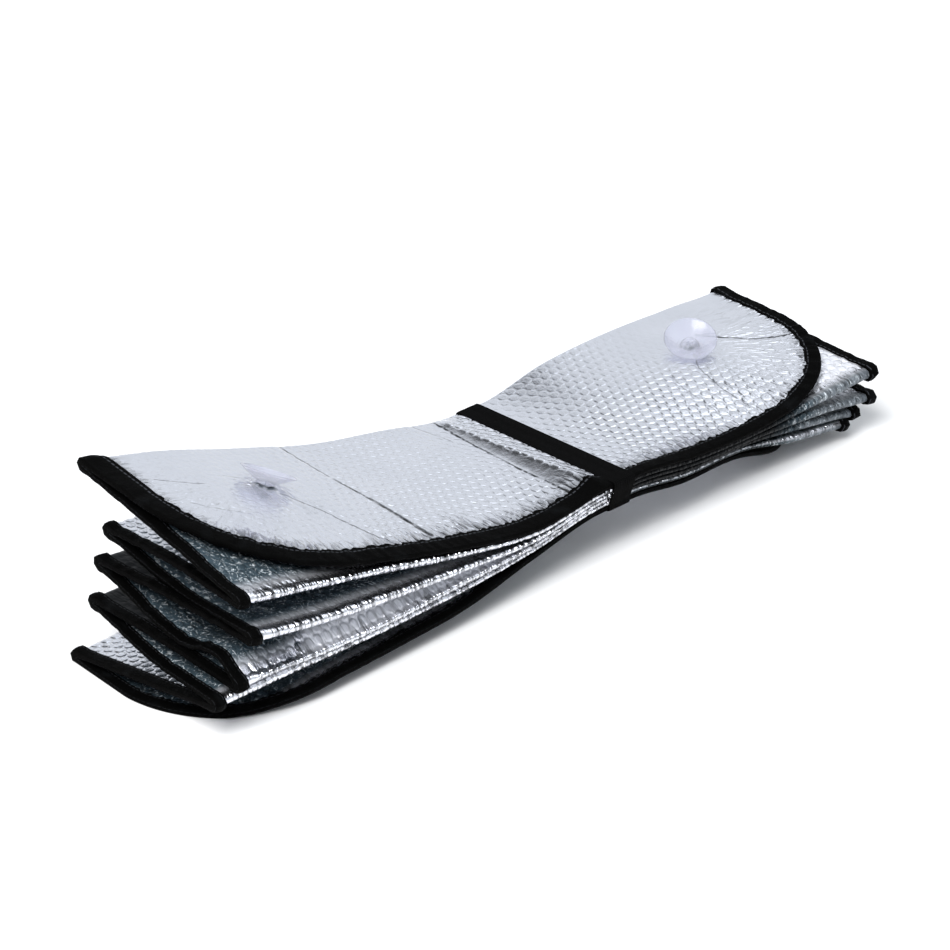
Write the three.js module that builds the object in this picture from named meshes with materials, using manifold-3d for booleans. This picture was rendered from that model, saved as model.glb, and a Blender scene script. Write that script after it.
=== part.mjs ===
// A windscreen sunshade of aluminised bubble foil, folded like an accordion into ten panels.
// A textile tape binds the whole edge, an elastic strap cinches the folded bundle,
// and four clear suction cups sit in punched holes near the ends of the two outer panels.
// Units are millimetres: X runs along the bundle, +Y is the far side, Z is up.

import * as THREE from "three";
import { mergeVertices } from "three/addons/utils/BufferGeometryUtils.js";
import Module from "manifold-3d";

const wasm = await Module();
wasm.setup();

// The flat sheet
const bundleLength = 600;
const panelWidth = 150;
const panelCount = 10;
const cornerRadius = 100;
const foilThickness = 2.2;

// How the strap squeezes the bundle
const pinchedThickness = 1.5;
const layerGap = 0.35;
const freeFoldRadius = 2.2;
const strapFromLeftEnd = 345;
const bundleFloorHeight = 39.8;

// The tape, the strap and the clearance that each keeps from the foil
const tapeWidth = 14;
const tapeThickness = 0.4;
const tapeClearance = 0.35;
const tapeInner = tapeClearance;
const tapeOuter = tapeClearance + tapeThickness;
const strapWidth = 22;
const strapThickness = 1;
const strapClearance = 0.3;
const strapBend = 1;
const strapLap = 26;
const strapBendSteps = 4;
// How far past each side of the strap the bundle stays pressed flat.
const strapShoulder = 2;

// The suction cups and their punched holes
const cupRadius = 19;
const cupHeight = 8.5;
const cupRimWall = 0.8;
const cupFloor = 3.6;
const collarRadius = 6.5;
const collarHeight = 2;
const neckRadius = 3.2;
const knobRadius = 5.5;
const knobThickness = 2;
const knobBevel = 1.6;
const holeClearance = 0.6;
const seatGap = 0.3;
const cupFromEdge = 96;
const cupFromLeftEnd = 108;
const cupFromRightEnd = 89;

// Each fold line runs the length of the bundle. Lines 0 and 10 are the free near edges of the
// top and bottom panels, odd lines are the far folds and even lines the near folds.
// How far each line's end falls short of the flat length of its arm, because the layers rise,
// fall and slip along each other.
const shortLeft = [22, 15, 17, 23, 18, 17, 10, 13, -2, -1, -11];
const shortRight = [0, 0, 1, 1, 1, 4, 12, 14, 18, 24, 30];
// How far out each line lies beyond half the width of a panel, at the two ends and the strap.
const proudLeft = [-1, 0, 0, -5, 8, -7, 2, -3, -6, 1, -1];
const proudRight = [3, -1, 1, 0, 0, 0, -5, 0, -6, 0, -9];
const proudStrap = [1.5, 0, 0, 0, -1, 0, -2, 0, -3, 0, -3.5];

// The bottom panel comes down to the floor at both ends. It lies flat over the rest length at
// the left one, and at the right one only the tip of the tape droops to the floor.
const restLength = 30;
const tipDroop = 0.2;
const restHeight = foilThickness / 2 + tapeOuter;
const restFold = restHeight + freeFoldRadius;

// Heights above the floor along each arm, at equal steps from beside the strap to the end.
const leftHeights = {
  0: [51.5, 61.5, 77, 94.5, 108],
  1: [67.5, 80, 100, 121.5, 135],
  2: [47.5, 57, 71, 84, 97],
  4: [42.8, 47.5, 54.5, 62.5, 74],
  6: [38, 36, 34.5, 36.5, 42],
  8: [33.5, 28.5, 27, 28.5, 29],
  9: [31, 19, 14, 11.5, restFold],
  10: [29, 16.5, 13, 10.5, restHeight],
};
const rightHeights = {
  0: [50.7, 49.2, 56, 59],
  1: [65.8, 68.5, 66, 62.5],
  2: [46.9, 45.1, 47.5, 50],
  4: [43.1, 41.2, 37.5, 29],
  6: [39.3, 37.3, 28.5, 18],
  8: [35.5, 33.4, 20, 10],
  9: [34.6, 31.5, 17, restFold + tipDroop],
  10: [31.4, 29, 14, restHeight + tipDroop],
};
// The three far folds in between share the height from the lowest far fold to the top one.
const farShareStrap = { 3: 0.75, 5: 0.5, 7: 0.25 };
const farShareLeft = { 3: 0.64, 5: 0.497, 7: 0.28 };
const farShareRight = { 3: 0.68, 5: 0.4, 7: 0.18 };
// How far each panel bows up across its middle, at its end or halfway along the arm.
const endBowLeft = [2.5, 1, 3, 4, 2, 4, 1, 3, 0, 0];
const middleBowLeft = [0, 0, 0, 0, 0, 0, 0, 0, 0, 4];
const middleBowRight = [4, 0, 0, 0, 0, 0, 0, 0, 0, -4];
// The ridge that the strap gathers in the top panel, just left of itself.
const gatherHeight = 3.5;
const gatherHalfWidth = 10;

const half = bundleLength / 2;
const strapAt = strapFromLeftEnd - half;
const armLeft = strapFromLeftEnd;
const armRight = bundleLength - strapFromLeftEnd;
const lowestPanel = panelCount - 1;
const layerPitch = pinchedThickness + layerGap;
const pinchedFoldRadius = layerPitch / 2;
const squeezedZone = strapWidth / 2 + strapShoulder;
const gatherAt = strapAt - squeezedZone - gatherHalfWidth;

// Where along each arm the squeezed foil starts to swell back to its full thickness, and over
// how much of the arm, both as shares of its length.
const swellLeft = { from: 0, over: 0.9 };
const swellRight = { from: 0.5, over: 0.3 };

const ease = (t) => t * t * (3 - 2 * t);
const mix = THREE.MathUtils.lerp;

// Catmull-Rom curve through equally spaced values, level where it starts.
function alongArm(values, share) {
  const last = values.length - 1;
  const place = share * last;
  const i = Math.min(Math.max(Math.floor(place), 0), last - 1);
  const f = place - i;
  const before = i > 0 ? values[i - 1] : values[1];
  const after = i + 2 <= last ? values[i + 2] : 2 * values[i + 1] - values[i];
  const slopeIn = (values[i + 1] - before) / 2;
  const slopeOut = (after - values[i]) / 2;
  const rise = values[i + 1] - values[i];
  const bend = 3 * rise - 2 * slopeIn - slopeOut;
  return values[i] + f * (slopeIn + f * (bend + f * (slopeIn + slopeOut - 2 * rise)));
}

// Where a line lies across the bundle: odd lines on the far side, even ones on the near side.
function acrossAt(line, proud) {
  return (line % 2 ? 1 : -1) * (panelWidth / 2 + proud[line]);
}

// Height of each line under the strap, with the layers pressed together.
function strapHeight(line) {
  const edgeLift = tapeOuter + layerGap / 2;
  if (line === 0) return bundleFloorHeight + layerPitch * (panelCount - 1) + edgeLift;
  if (line === panelCount) return bundleFloorHeight - edgeLift;
  return bundleFloorHeight + layerPitch * (panelCount - 0.5 - line);
}

// The fold lines at one station along the sheet, and the radius and thickness there.
function linesAt(station) {
  const left = station < strapAt;
  const arm = left ? armLeft : armRight;
  const away = Math.abs(station - strapAt) / arm;
  const pastStrap = Math.max(0, Math.abs(station - strapAt) - squeezedZone);
  const share = Math.min(pastStrap / (arm - squeezedZone), 1);
  const short = left ? shortLeft : shortRight;
  const proud = left ? proudLeft : proudRight;
  const heights = left ? leftHeights : rightHeights;
  const farShare = left ? farShareLeft : farShareRight;
  const eased = ease(share);
  const resting = left ? restLength / (arm - squeezedZone) : 0;
  const loweredShare = Math.min(share / (1 - resting), 1);
  const height = (line) =>
    alongArm([strapHeight(line), ...heights[line]], line < lowestPanel ? share : loweredShare);
  const lines = [];
  for (let line = 0; line <= panelCount; line++) {
    const z = heights[line]
      ? height(line)
      : mix(height(lowestPanel), height(1), mix(farShareStrap[line], farShare[line], share));
    lines.push({
      x: (left ? -1 : 1) * (arm - short[line]) * away,
      y: mix(acrossAt(line, proudStrap), acrossAt(line, proud), eased),
      z,
    });
  }
  const swell = left ? swellLeft : swellRight;
  const swollen = ease(THREE.MathUtils.clamp((share - swell.from) / swell.over, 0, 1));
  const midArm = Math.sin(Math.PI * loweredShare) ** 2;
  return {
    lines,
    radius: mix(pinchedFoldRadius, freeFoldRadius, swollen),
    thickness: mix(pinchedThickness, foilThickness, swollen),
    bow: left
      ? endBowLeft.map((bow, panel) => bow * swollen + middleBowLeft[panel] * midArm)
      : middleBowRight.map((bow) => bow * midArm),
  };
}

// The straight runs of one cross-section: each leaves the lower side of one fold's circle
// and reaches the upper side of the next one's.
const sections = new Map();
function sectionAt(station) {
  if (sections.has(station)) return sections.get(station);
  const at = linesAt(station);
  const circles = at.lines.map((p, line) => {
    const free = line === 0 || line === panelCount;
    const inward = free ? 0 : (line % 2 ? -1 : 1) * at.radius;
    return { y: p.y + inward, z: p.z, r: free ? 0 : at.radius };
  });
  const runs = [];
  for (let i = 0; i < panelCount; i++) {
    const a = circles[i];
    const b = circles[i + 1];
    const dy = b.y - a.y;
    const dz = b.z - a.z;
    const sum = a.r + b.r;
    const length = Math.sqrt(dy * dy + dz * dz - sum * sum);
    const side = i % 2 ? -1 : 1;
    const angle = Math.atan2(dz, dy) + side * Math.atan2(sum, length);
    const uy = Math.cos(angle);
    const uz = Math.sin(angle);
    runs.push({
      angle,
      uy,
      uz,
      length,
      y: a.y + side * a.r * uz,
      z: a.z - side * a.r * uy,
    });
  }
  const made = { ...at, circles, runs };
  sections.set(station, made);
  return made;
}

// A point of the sheet. A place is either a share of the way across one panel or a share of
// the turn round one fold, and the offset is measured from the middle of the foil towards
// the face that is on top of the first panel.
function sheetPoint(place, station, offset) {
  const s = sectionAt(station);
  if (place.fold !== undefined) {
    const c = s.circles[place.fold];
    const before = s.runs[place.fold - 1].angle;
    const clockwise = place.fold % 2 ? 1 : -1;
    let turn = s.runs[place.fold].angle - before;
    if (clockwise > 0 && turn > 0) turn -= 2 * Math.PI;
    if (clockwise < 0 && turn < 0) turn += 2 * Math.PI;
    const angle = before + turn * place.turn;
    const reach = c.r + clockwise * offset;
    const y = c.y - clockwise * reach * Math.sin(angle);
    const z = c.z + clockwise * reach * Math.cos(angle);
    return [s.lines[place.fold].x, y, z];
  }
  const run = s.runs[place.panel];
  const bulge = Math.sin(Math.PI * place.t) ** 2;
  const fromRidge = Math.min(1, Math.abs(station - gatherAt) / gatherHalfWidth);
  const gather = place.panel === 0 ? gatherHeight * bulge * Math.cos((fromRidge * Math.PI) / 2) ** 2 : 0;
  const d = run.length * place.t;
  return [
    mix(s.lines[place.panel].x, s.lines[place.panel + 1].x, place.t),
    run.y + run.uy * d - run.uz * offset,
    run.z + run.uz * d + run.uy * offset + s.bow[place.panel] * bulge + gather,
  ];
}

// How far the rounded corners cut into the free edge at a station.
function cornerInset(station) {
  const past = Math.max(0, Math.abs(station) - (half - cornerRadius));
  return cornerRadius - Math.sqrt(Math.max(0, cornerRadius * cornerRadius - past * past));
}

// Stations along the sheet: close together round the corners and beside the strap.
const cornerSteps = 8;
const armStations = [];
for (let k = 0; k <= cornerSteps; k++) {
  armStations.push(half - cornerRadius + cornerRadius * Math.sin((k / cornerSteps) * (Math.PI / 2)));
}
const evenSteps = 4;
const evenly = (from, to) =>
  Array.from({ length: evenSteps }, (_, k) => mix(from, to, (k + 1) / (evenSteps + 1)));
const stations = [
  ...armStations.map((x) => -x).reverse(),
  ...evenly(cornerRadius - half, gatherAt - gatherHalfWidth),
  gatherAt - gatherHalfWidth,
  gatherAt,
  strapAt - squeezedZone,
  strapAt + squeezedZone,
  ...evenly(strapAt + squeezedZone, half - cornerRadius),
  ...armStations,
];

// Rows across each panel, as shares of the way over it. The outer panels start at their free
// edge, and have a row along the inner edge of the tape.
const panelSteps = 3;
const outerPanelSteps = 4;
const turnSteps = 4;
function rowsAcross(panel, station) {
  const inset = cornerInset(station) / panelWidth;
  const first = panel === 0;
  if (!first && panel !== panelCount - 1) return evenRows(0, 1, panelSteps);
  const fromEdge = [inset, ...evenRows(inset + tapeWidth / panelWidth, 1, outerPanelSteps)];
  return first ? fromEdge : fromEdge.map((t) => 1 - t).reverse();
}
function evenRows(from, to, steps) {
  return Array.from({ length: steps + 1 }, (_, k) => mix(from, to, k / steps));
}

// Places across the sheet, from the free edge of the top panel to that of the bottom one.
function placesAt(station) {
  const places = [];
  for (let panel = 0; panel < panelCount; panel++) {
    places.push(...rowsAcross(panel, station).map((t) => ({ panel, t })));
    if (panel === panelCount - 1) break;
    for (let k = 1; k < turnSteps; k++) places.push({ fold: panel + 1, turn: k / turnSteps });
  }
  return places;
}

// A point that lies on the foil's flat facets, which span those rows and stations. The two
// faces of the foil have their facets' diagonals the opposite way round.
function facetPoint(place, station, offset) {
  const cell = THREE.MathUtils.clamp(stations.findLastIndex((at) => at <= station), 0, stations.length - 2);
  const from = stations[cell];
  const to = stations[cell + 1];
  const along = (station - from) / (to - from);
  const sum = (...terms) =>
    terms[0][1].map((_, axis) => terms.reduce((all, [share, point]) => all + share * point[axis], 0));
  if (place.fold !== undefined) {
    return sum([1 - along, sheetPoint(place, from, offset)], [along, sheetPoint(place, to, offset)]);
  }
  const rowsFrom = rowsAcross(place.panel, from);
  const rowsTo = rowsAcross(place.panel, to);
  const rows = rowsFrom.map((t, k) => mix(t, rowsTo[k], along));
  const low = THREE.MathUtils.clamp(rows.findLastIndex((t) => t <= place.t), 0, rows.length - 2);
  const over = (place.t - rows[low]) / (rows[low + 1] - rows[low]);
  const corner = (at, t) => sheetPoint({ panel: place.panel, t }, at, offset);
  const p00 = corner(from, rowsFrom[low]);
  const p01 = corner(from, rowsFrom[low + 1]);
  const p10 = corner(to, rowsTo[low]);
  const p11 = corner(to, rowsTo[low + 1]);
  if (offset > 0) {
    return along > over
      ? sum([1 - along, p00], [along - over, p10], [over, p11])
      : sum([1 - over, p00], [over - along, p01], [along, p11]);
  }
  return along + over < 1
    ? sum([1 - along - over, p00], [along, p10], [over, p01])
    : sum([along + over - 1, p11], [1 - along, p01], [1 - over, p10]);
}

// A closed mesh from rings of equal length, each joined to the next. Open chains of rings
// are closed by the end faces that the caller gives, closed ones run back to the start and
// have their diagonals the other way.
function meshFromRings(rings, capFaces) {
  const size = rings[0].length;
  const index = [];
  const count = capFaces ? rings.length - 1 : rings.length;
  for (let r = 0; r < count; r++) {
    const next = (r + 1) % rings.length;
    for (let k = 0; k < size; k++) {
      const a = r * size + k;
      const b = r * size + ((k + 1) % size);
      const c = next * size + ((k + 1) % size);
      const d = next * size + k;
      if (capFaces) index.push(a, c, b, a, d, c);
      else index.push(a, d, b, b, d, c);
    }
  }
  if (capFaces) {
    const lastRing = (rings.length - 1) * size;
    for (const [a, b, c] of capFaces) {
      index.push(a, b, c, lastRing + a, lastRing + c, lastRing + b);
    }
  }
  const geometry = new THREE.BufferGeometry();
  geometry.setAttribute("position", new THREE.Float32BufferAttribute(rings.flat(2), 3));
  geometry.setIndex(index);
  return geometry;
}

function solidOf(geometry) {
  const bare = geometry.clone();
  bare.deleteAttribute("normal");
  bare.deleteAttribute("uv");
  const merged = mergeVertices(bare, 1e-4);
  return new wasm.Manifold(
    new wasm.Mesh({
      numProp: 3,
      vertProperties: merged.attributes.position.array,
      triVerts: new Uint32Array(merged.index.array),
    }),
  );
}

function geometryOf(solid) {
  const mesh = solid.getMesh();
  const geometry = new THREE.BufferGeometry();
  geometry.setAttribute("position", new THREE.Float32BufferAttribute(mesh.vertProperties, 3));
  geometry.setIndex(new THREE.BufferAttribute(mesh.triVerts, 1));
  geometry.computeVertexNormals();
  return geometry;
}

// The foil: one ring per station, up one face of the sheet and back down the other.
function foilGeometry() {
  const rings = stations.map((station) => {
    const offset = sectionAt(station).thickness / 2;
    const places = placesAt(station);
    return [
      ...places.map((p) => sheetPoint(p, station, offset)),
      ...places.map((p) => sheetPoint(p, station, -offset)).reverse(),
    ];
  });
  const size = rings[0].length;
  const caps = [];
  for (let k = 0; k < size / 2 - 1; k++) {
    caps.push([k, k + 1, size - 2 - k], [k, size - 2 - k, size - 1 - k]);
  }
  return meshFromRings(rings, caps);
}

// The edge of the flat sheet, all the way round: a place, a station, and the direction
// into the sheet, as a share across the panel and a share along the bundle.
function edgeWalk() {
  const walk = [];
  const centre = half - cornerRadius;
  const alongFree = (panel) =>
    stations.map((station) => {
      const inset = cornerInset(station);
      const past = Math.max(0, Math.abs(station) - centre);
      const across = (cornerRadius - inset) / cornerRadius;
      const along = (-Math.sign(station) * past) / cornerRadius;
      const first = panel === 0;
      const t = first ? inset / panelWidth : 1 - inset / panelWidth;
      return { place: { panel, t }, station, across: first ? across : -across, along };
    });
  const acrossEnd = (station) =>
    placesAt(station)
      .slice(1, -1)
      .map((place) => ({ place, station, across: 0, along: -Math.sign(station) }));
  walk.push(...alongFree(0));
  walk.push(...acrossEnd(half));
  walk.push(...alongFree(panelCount - 1).reverse());
  walk.push(...acrossEnd(-half).reverse());
  return walk;
}

// The tape: a U-shaped band over the edge, carried round the whole sheet.
function tapeGeometry() {
  const rings = edgeWalk().map(({ place, station, across, along }) => {
    const inner = sectionAt(station).thickness / 2 + tapeInner;
    const outer = sectionAt(station).thickness / 2 + tapeOuter;
    const at = (inward, offset) => {
      const t = place.t + (across * inward) / panelWidth;
      const moved = place.fold === undefined ? { panel: place.panel, t } : place;
      return facetPoint(moved, station + along * inward, offset);
    };
    return [
      at(tapeWidth, inner),
      at(-tapeInner, inner),
      at(-tapeInner, -inner),
      at(tapeWidth, -inner),
      at(tapeWidth, -outer),
      at(-tapeOuter, -outer),
      at(-tapeOuter, outer),
      at(tapeWidth, outer),
    ];
  });
  return meshFromRings(rings);
}

// A closed outline through corners given as y, z and the length that its bend cuts off.
function bentLoop(path, corners) {
  const count = corners.length;
  for (let k = 0; k < count; k++) {
    const [y, z, bend] = corners[k];
    const corner = new THREE.Vector2(y, z);
    const before = new THREE.Vector2(...corners[(k + count - 1) % count]).sub(corner);
    const after = new THREE.Vector2(...corners[(k + 1) % count]).sub(corner);
    const from = before.setLength(bend).add(corner);
    const to = after.setLength(bend).add(corner);
    if (k === 0) path.moveTo(from.x, from.y);
    else path.lineTo(from.x, from.y);
    if (bend > 0) path.quadraticCurveTo(corner.x, corner.y, to.x, to.y);
  }
  path.closePath();
  return path;
}

// The strap: a flat band round the pinched bundle, its two ends sewn over each other below.
function strapGeometry() {
  const room = pinchedThickness / 2 + strapClearance;
  const nearRoom = tapeOuter + strapClearance;
  const edgeRoom = tapeOuter + room;
  const bottomY = acrossAt(panelCount, proudStrap) - nearRoom;
  const topY = acrossAt(0, proudStrap) - nearRoom;
  const farY = acrossAt(1, proudStrap) + room;
  const nearBottom = [bottomY, strapHeight(panelCount) - edgeRoom];
  const nearLower = [bottomY, strapHeight(panelCount) + edgeRoom];
  const nearUpper = [topY, strapHeight(0) - edgeRoom];
  const nearTop = [topY, strapHeight(0) + edgeRoom];
  const farBottom = [farY, bundleFloorHeight - room];
  const farTop = [farY, bundleFloorHeight + layerPitch * (panelCount - 1) + room];
  const t = strapThickness;
  const outerBend = strapBend + t;
  const underside = (y) => {
    const share = (y - nearBottom[0]) / (farBottom[0] - nearBottom[0]);
    return mix(nearBottom[1], farBottom[1], share) - t;
  };
  const lapNear = -strapLap / 2;
  const lapFar = strapLap / 2;
  const shape = bentLoop(new THREE.Shape(), [
    [nearBottom[0] - t, nearBottom[1] - t, outerBend],
    [lapNear, underside(lapNear), 0],
    [lapNear, underside(lapNear) - t, 0],
    [lapFar, underside(lapFar) - t, 0],
    [lapFar, underside(lapFar), 0],
    [farBottom[0] + t, farBottom[1] - t, outerBend],
    [farTop[0] + t, farTop[1] + t, outerBend],
    [nearTop[0] - t, nearTop[1] + t, outerBend],
    [nearUpper[0] - t, nearUpper[1], outerBend],
    [nearLower[0] - t, nearLower[1], outerBend],
  ]);
  const corners = [nearBottom, farBottom, farTop, nearTop, nearUpper, nearLower];
  const inside = corners.map((corner) => [...corner, strapBend]);
  shape.holes.push(bentLoop(new THREE.Path(), inside));
  const settings = { depth: strapWidth, bevelEnabled: false, curveSegments: strapBendSteps };
  const geometry = new THREE.ExtrudeGeometry(shape, settings);
  geometry.translate(0, 0, -strapWidth / 2);
  const xAlong = new THREE.Vector3(1, 0, 0);
  const yAlong = new THREE.Vector3(0, 1, 0);
  const zAlong = new THREE.Vector3(0, 0, 1);
  return geometry.applyMatrix4(new THREE.Matrix4().makeBasis(yAlong, zAlong, xAlong));
}

// Where a cup sits in its panel, and the way its mouth faces: square to the foil there.
function cupSeat(panel, fromEdge, station) {
  const t = panel === 0 ? fromEdge / panelWidth : 1 - fromEdge / panelWidth;
  const reach = collarRadius / 2;
  const middle = (place, at) => new THREE.Vector3(...sheetPoint(place, at, 0));
  const point = (over, along) => middle({ panel, t: t + over / panelWidth }, station + along);
  const over = point(reach, 0).sub(point(-reach, 0));
  const along = point(0, reach).sub(point(0, -reach));
  return { centre: point(0, 0), facing: along.cross(over).normalize() };
}

// One cup: a mushroom knob behind the foil, a neck through the punched hole, a collar on the
// face of the foil and the thin dish that opens away from it.
const cupSegments = 20;
const dishSteps = 4;
const dishCurve = 1.3;
function cupGeometry() {
  const face = foilThickness / 2 + seatGap;
  const back = -face;
  const profile = [
    new THREE.Vector2(0, back - knobThickness),
    new THREE.Vector2(knobRadius - knobBevel, back - knobThickness),
    new THREE.Vector2(knobRadius, back - knobThickness / 2),
    new THREE.Vector2(knobRadius, back),
    new THREE.Vector2(neckRadius, back),
    new THREE.Vector2(neckRadius, face),
    new THREE.Vector2(collarRadius, face),
  ];
  for (let k = 0; k <= dishSteps; k++) {
    const share = k / dishSteps;
    const r = mix(collarRadius, cupRadius, share);
    const rise = (cupHeight - collarHeight) * share ** dishCurve;
    profile.push(new THREE.Vector2(r, face + collarHeight + rise));
  }
  for (let k = dishSteps; k >= 0; k--) {
    const share = k / dishSteps;
    const r = (cupRadius - cupRimWall) * share;
    profile.push(new THREE.Vector2(r, face + cupFloor + (cupHeight - cupFloor) * share ** 2));
  }
  return new THREE.LatheGeometry(profile, cupSegments);
}

// Turns the lathe's own axis to the way the cup faces, and sets it in its hole.
function placeCup(mesh, seat) {
  mesh.quaternion.setFromUnitVectors(new THREE.Vector3(0, 1, 0), seat.facing);
  mesh.position.copy(seat.centre);
}

const cupSeats = {
  suction_cup_top_left: cupSeat(0, cupFromEdge, cupFromLeftEnd - half),
  suction_cup_top_right: cupSeat(0, cupFromEdge, half - cupFromRightEnd),
  suction_cup_bottom_left: cupSeat(panelCount - 1, cupFromEdge, cupFromLeftEnd - half),
  suction_cup_bottom_right: cupSeat(panelCount - 1, cupFromEdge, half - cupFromRightEnd),
};

const foilMaterial = new THREE.MeshStandardMaterial({ color: 0xcdd1db, roughness: 0.3, metalness: 0.9 });
const tapeMaterial = new THREE.MeshStandardMaterial({ color: 0x0b0b0d, roughness: 0.85 });
const strapMaterial = new THREE.MeshStandardMaterial({ color: 0x08080a, roughness: 0.9 });
const cupMaterial = new THREE.MeshStandardMaterial({ color: 0xd9dae6, roughness: 0.15 });

// The foil with a round hole punched for each cup's neck.
const holeRadius = neckRadius + holeClearance;
const punchLength = 5.5;
function punchedFoil() {
  let foil = solidOf(foilGeometry());
  for (const seat of Object.values(cupSeats)) {
    const cylinder = new THREE.CylinderGeometry(holeRadius, holeRadius, punchLength, cupSegments);
    const punch = new THREE.Mesh(cylinder);
    placeCup(punch, seat);
    punch.updateMatrix();
    foil = foil.subtract(solidOf(punch.geometry.applyMatrix4(punch.matrix)));
  }
  return geometryOf(foil);
}

const shade = new THREE.Group();
function addPiece(name, geometry, material) {
  const mesh = new THREE.Mesh(geometry, material);
  mesh.name = name;
  shade.add(mesh);
  return mesh;
}

addPiece("foil_sheet", punchedFoil(), foilMaterial);
addPiece("edge_binding", tapeGeometry(), tapeMaterial);
addPiece("elastic_strap", strapGeometry(), strapMaterial);
for (const [name, seat] of Object.entries(cupSeats)) {
  placeCup(addPiece(name, cupGeometry(), cupMaterial), seat);
}

// The origin lies under the middle of the bundle's box, on the surface that it rests on.
const box = new THREE.Box3().setFromObject(shade, true);
const middle = box.getCenter(new THREE.Vector3());
shade.position.set(-middle.x, -middle.y, -box.min.z);

export default shade;
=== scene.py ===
"""A windscreen sunshade of silver bubble foil, folded like an accordion and strapped.

The sections follow the making: the bubble foil, the tape sewn round its edge, the elastic strap
round the folded bundle, and the four suction cups. All of it is worked out from the flat sheet:
s runs along the bundle and v across the ten panels, in millimetres, and one function folds any
point of the flat sheet into place.
"""

import math

import bpy
import numpy as np
from mathutils import Matrix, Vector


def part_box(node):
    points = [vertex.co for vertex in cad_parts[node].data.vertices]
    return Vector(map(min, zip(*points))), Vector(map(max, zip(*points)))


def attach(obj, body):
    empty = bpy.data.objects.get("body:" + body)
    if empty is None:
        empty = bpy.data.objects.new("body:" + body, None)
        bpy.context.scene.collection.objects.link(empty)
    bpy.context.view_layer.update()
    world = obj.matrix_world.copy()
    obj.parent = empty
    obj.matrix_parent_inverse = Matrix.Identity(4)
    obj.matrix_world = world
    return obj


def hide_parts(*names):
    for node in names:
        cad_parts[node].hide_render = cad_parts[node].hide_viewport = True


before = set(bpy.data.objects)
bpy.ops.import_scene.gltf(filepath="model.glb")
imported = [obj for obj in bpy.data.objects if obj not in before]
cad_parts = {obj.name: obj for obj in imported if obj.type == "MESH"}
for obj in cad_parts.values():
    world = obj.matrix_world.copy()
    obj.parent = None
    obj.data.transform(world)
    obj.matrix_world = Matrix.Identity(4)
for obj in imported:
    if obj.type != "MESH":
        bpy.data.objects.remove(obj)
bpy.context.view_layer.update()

# ------------------------------------------------------------------------------------------
# FOIL SHEET. One sheet of air-bubble film with a metallised silver face on both sides, cut with
# four round corners and folded to and fro into ten panels. The strap alone holds the folds: they
# lie pressed together under it and fan out at both ends.
# ------------------------------------------------------------------------------------------
MM = 0.001
HALF = 300.0
PANEL, PANELS = 150.0, 10
FLAT_WIDTH = PANEL * PANELS
CORNER = 100.0
# The film is 2.2 mm thick where its bubbles are free and is pressed thinner under the strap.
FREE_THICKNESS, PINCHED_THICKNESS = 2.2, 1.5
LAYER_PITCH = 1.85
FREE_RADIUS, PINCHED_RADIUS = 2.2, LAYER_PITCH / 2
FOLD_HALF = 3.4
# The strap's middle along the sheet, how far to each side it squeezes, and the lowest layer there.
STRAP_AT, SQUEEZED, FLOOR_HEIGHT = 45.0, 13.0, 39.8
STRAP_CLEARANCE, STRAP_THICKNESS = 0.3, 1.0
# The tape sewn over the edge: its width, and where its two faces stand off the film.
TAPE_WIDTH, TAPE_INNER, TAPE_OUTER = 14.0, 0.35, 0.75
SEWN_LIFT = TAPE_OUTER + 0.175
# The bundle rests on the tape at both ends, and the bottom panel's right corner curls up.
REST_HEIGHT = FREE_THICKNESS / 2 + TAPE_OUTER
REST_FOLD = REST_HEIGHT + FREE_RADIUS
REST_LENGTH, END_DROOP, CORNER_CURL = 30.0, 0.2, 5.5

# Eleven lines run along the bundle: line 0 is the top panel's near edge, line 10 the bottom
# panel's, odd lines are the far folds and even lines the near folds. First how far each line's
# two ends reach from the strap, then where it lies across the bundle.
REACH_LEFT = [323, 330, 328, 318, 327, 328, 335, 332, 347, 346, 356]
REACH_RIGHT = [255, 255, 254, 254, 254, 251, 243, 240, 233, 230, 225]
ACROSS_LEFT = [-74, 75, -75, 70, -83, 68, -77, 72, -69, 76, -74]
ACROSS_RIGHT = [-78, 74, -76, 75, -75, 75, -70, 75, -69, 75, -66]
ACROSS_STRAP = [-76.5, 75, -75, 75, -74, 75, -73, 75, -72, 75, -71.5]
# Heights over the floor at equal steps from beside the strap to the end.
LEFT_HEIGHTS = {
    0: [51.5, 61.5, 77, 94.5, 108],
    1: [67.5, 80, 100, 121.5, 135],
    2: [47.5, 57, 71, 84, 97],
    4: [42.8, 47.5, 54.5, 62.5, 74],
    6: [38, 36, 34.5, 36.5, 42],
    8: [33.5, 28.5, 27, 28.5, 29],
    9: [31, 19, 14, 11.5, REST_FOLD],
    10: [29, 16.5, 13, 10.5, REST_HEIGHT],
}
RIGHT_HEIGHTS = {
    0: [50.7, 49.2, 56, 59],
    1: [65.8, 68.5, 66, 62.5],
    2: [46.9, 45.1, 47.5, 50],
    4: [43.1, 41.2, 37.5, 29],
    6: [39.3, 37.3, 29, 19.5],
    8: [35.5, 33.4, 21.5, 13.5],
    9: [34.6, 31.5, 17, REST_FOLD + END_DROOP],
    10: [31.4, 29, 14.5, REST_HEIGHT + CORNER_CURL],
}
# The far folds between the first and the last share out the height between those two.
FAR_SHARE = {
    "strap": {3: 0.75, 5: 0.5, 7: 0.25},
    "left": {3: 0.64, 5: 0.497, 7: 0.28},
    "right": {3: 0.68, 5: 0.4, 7: 0.18},
}
# How far each panel bows up in its middle, at the left end and half-way along each arm.
END_BOW_LEFT = [2.5, 1, 3, -5, 2, -6, 1, -5, 0, 0]
MIDDLE_BOW_LEFT = [0, 0, 0, 3, 0, 4, 0, 2, 0, 4]
MIDDLE_BOW_RIGHT = [4, 0, 0, 0, 0, 0, 0, 0, 0, -4]
# Share of each arm over which the film swells from pinched to free.
LEFT_SWELLS, RIGHT_SWELLS = (0.0, 0.9), (0.5, 0.8)

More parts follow.
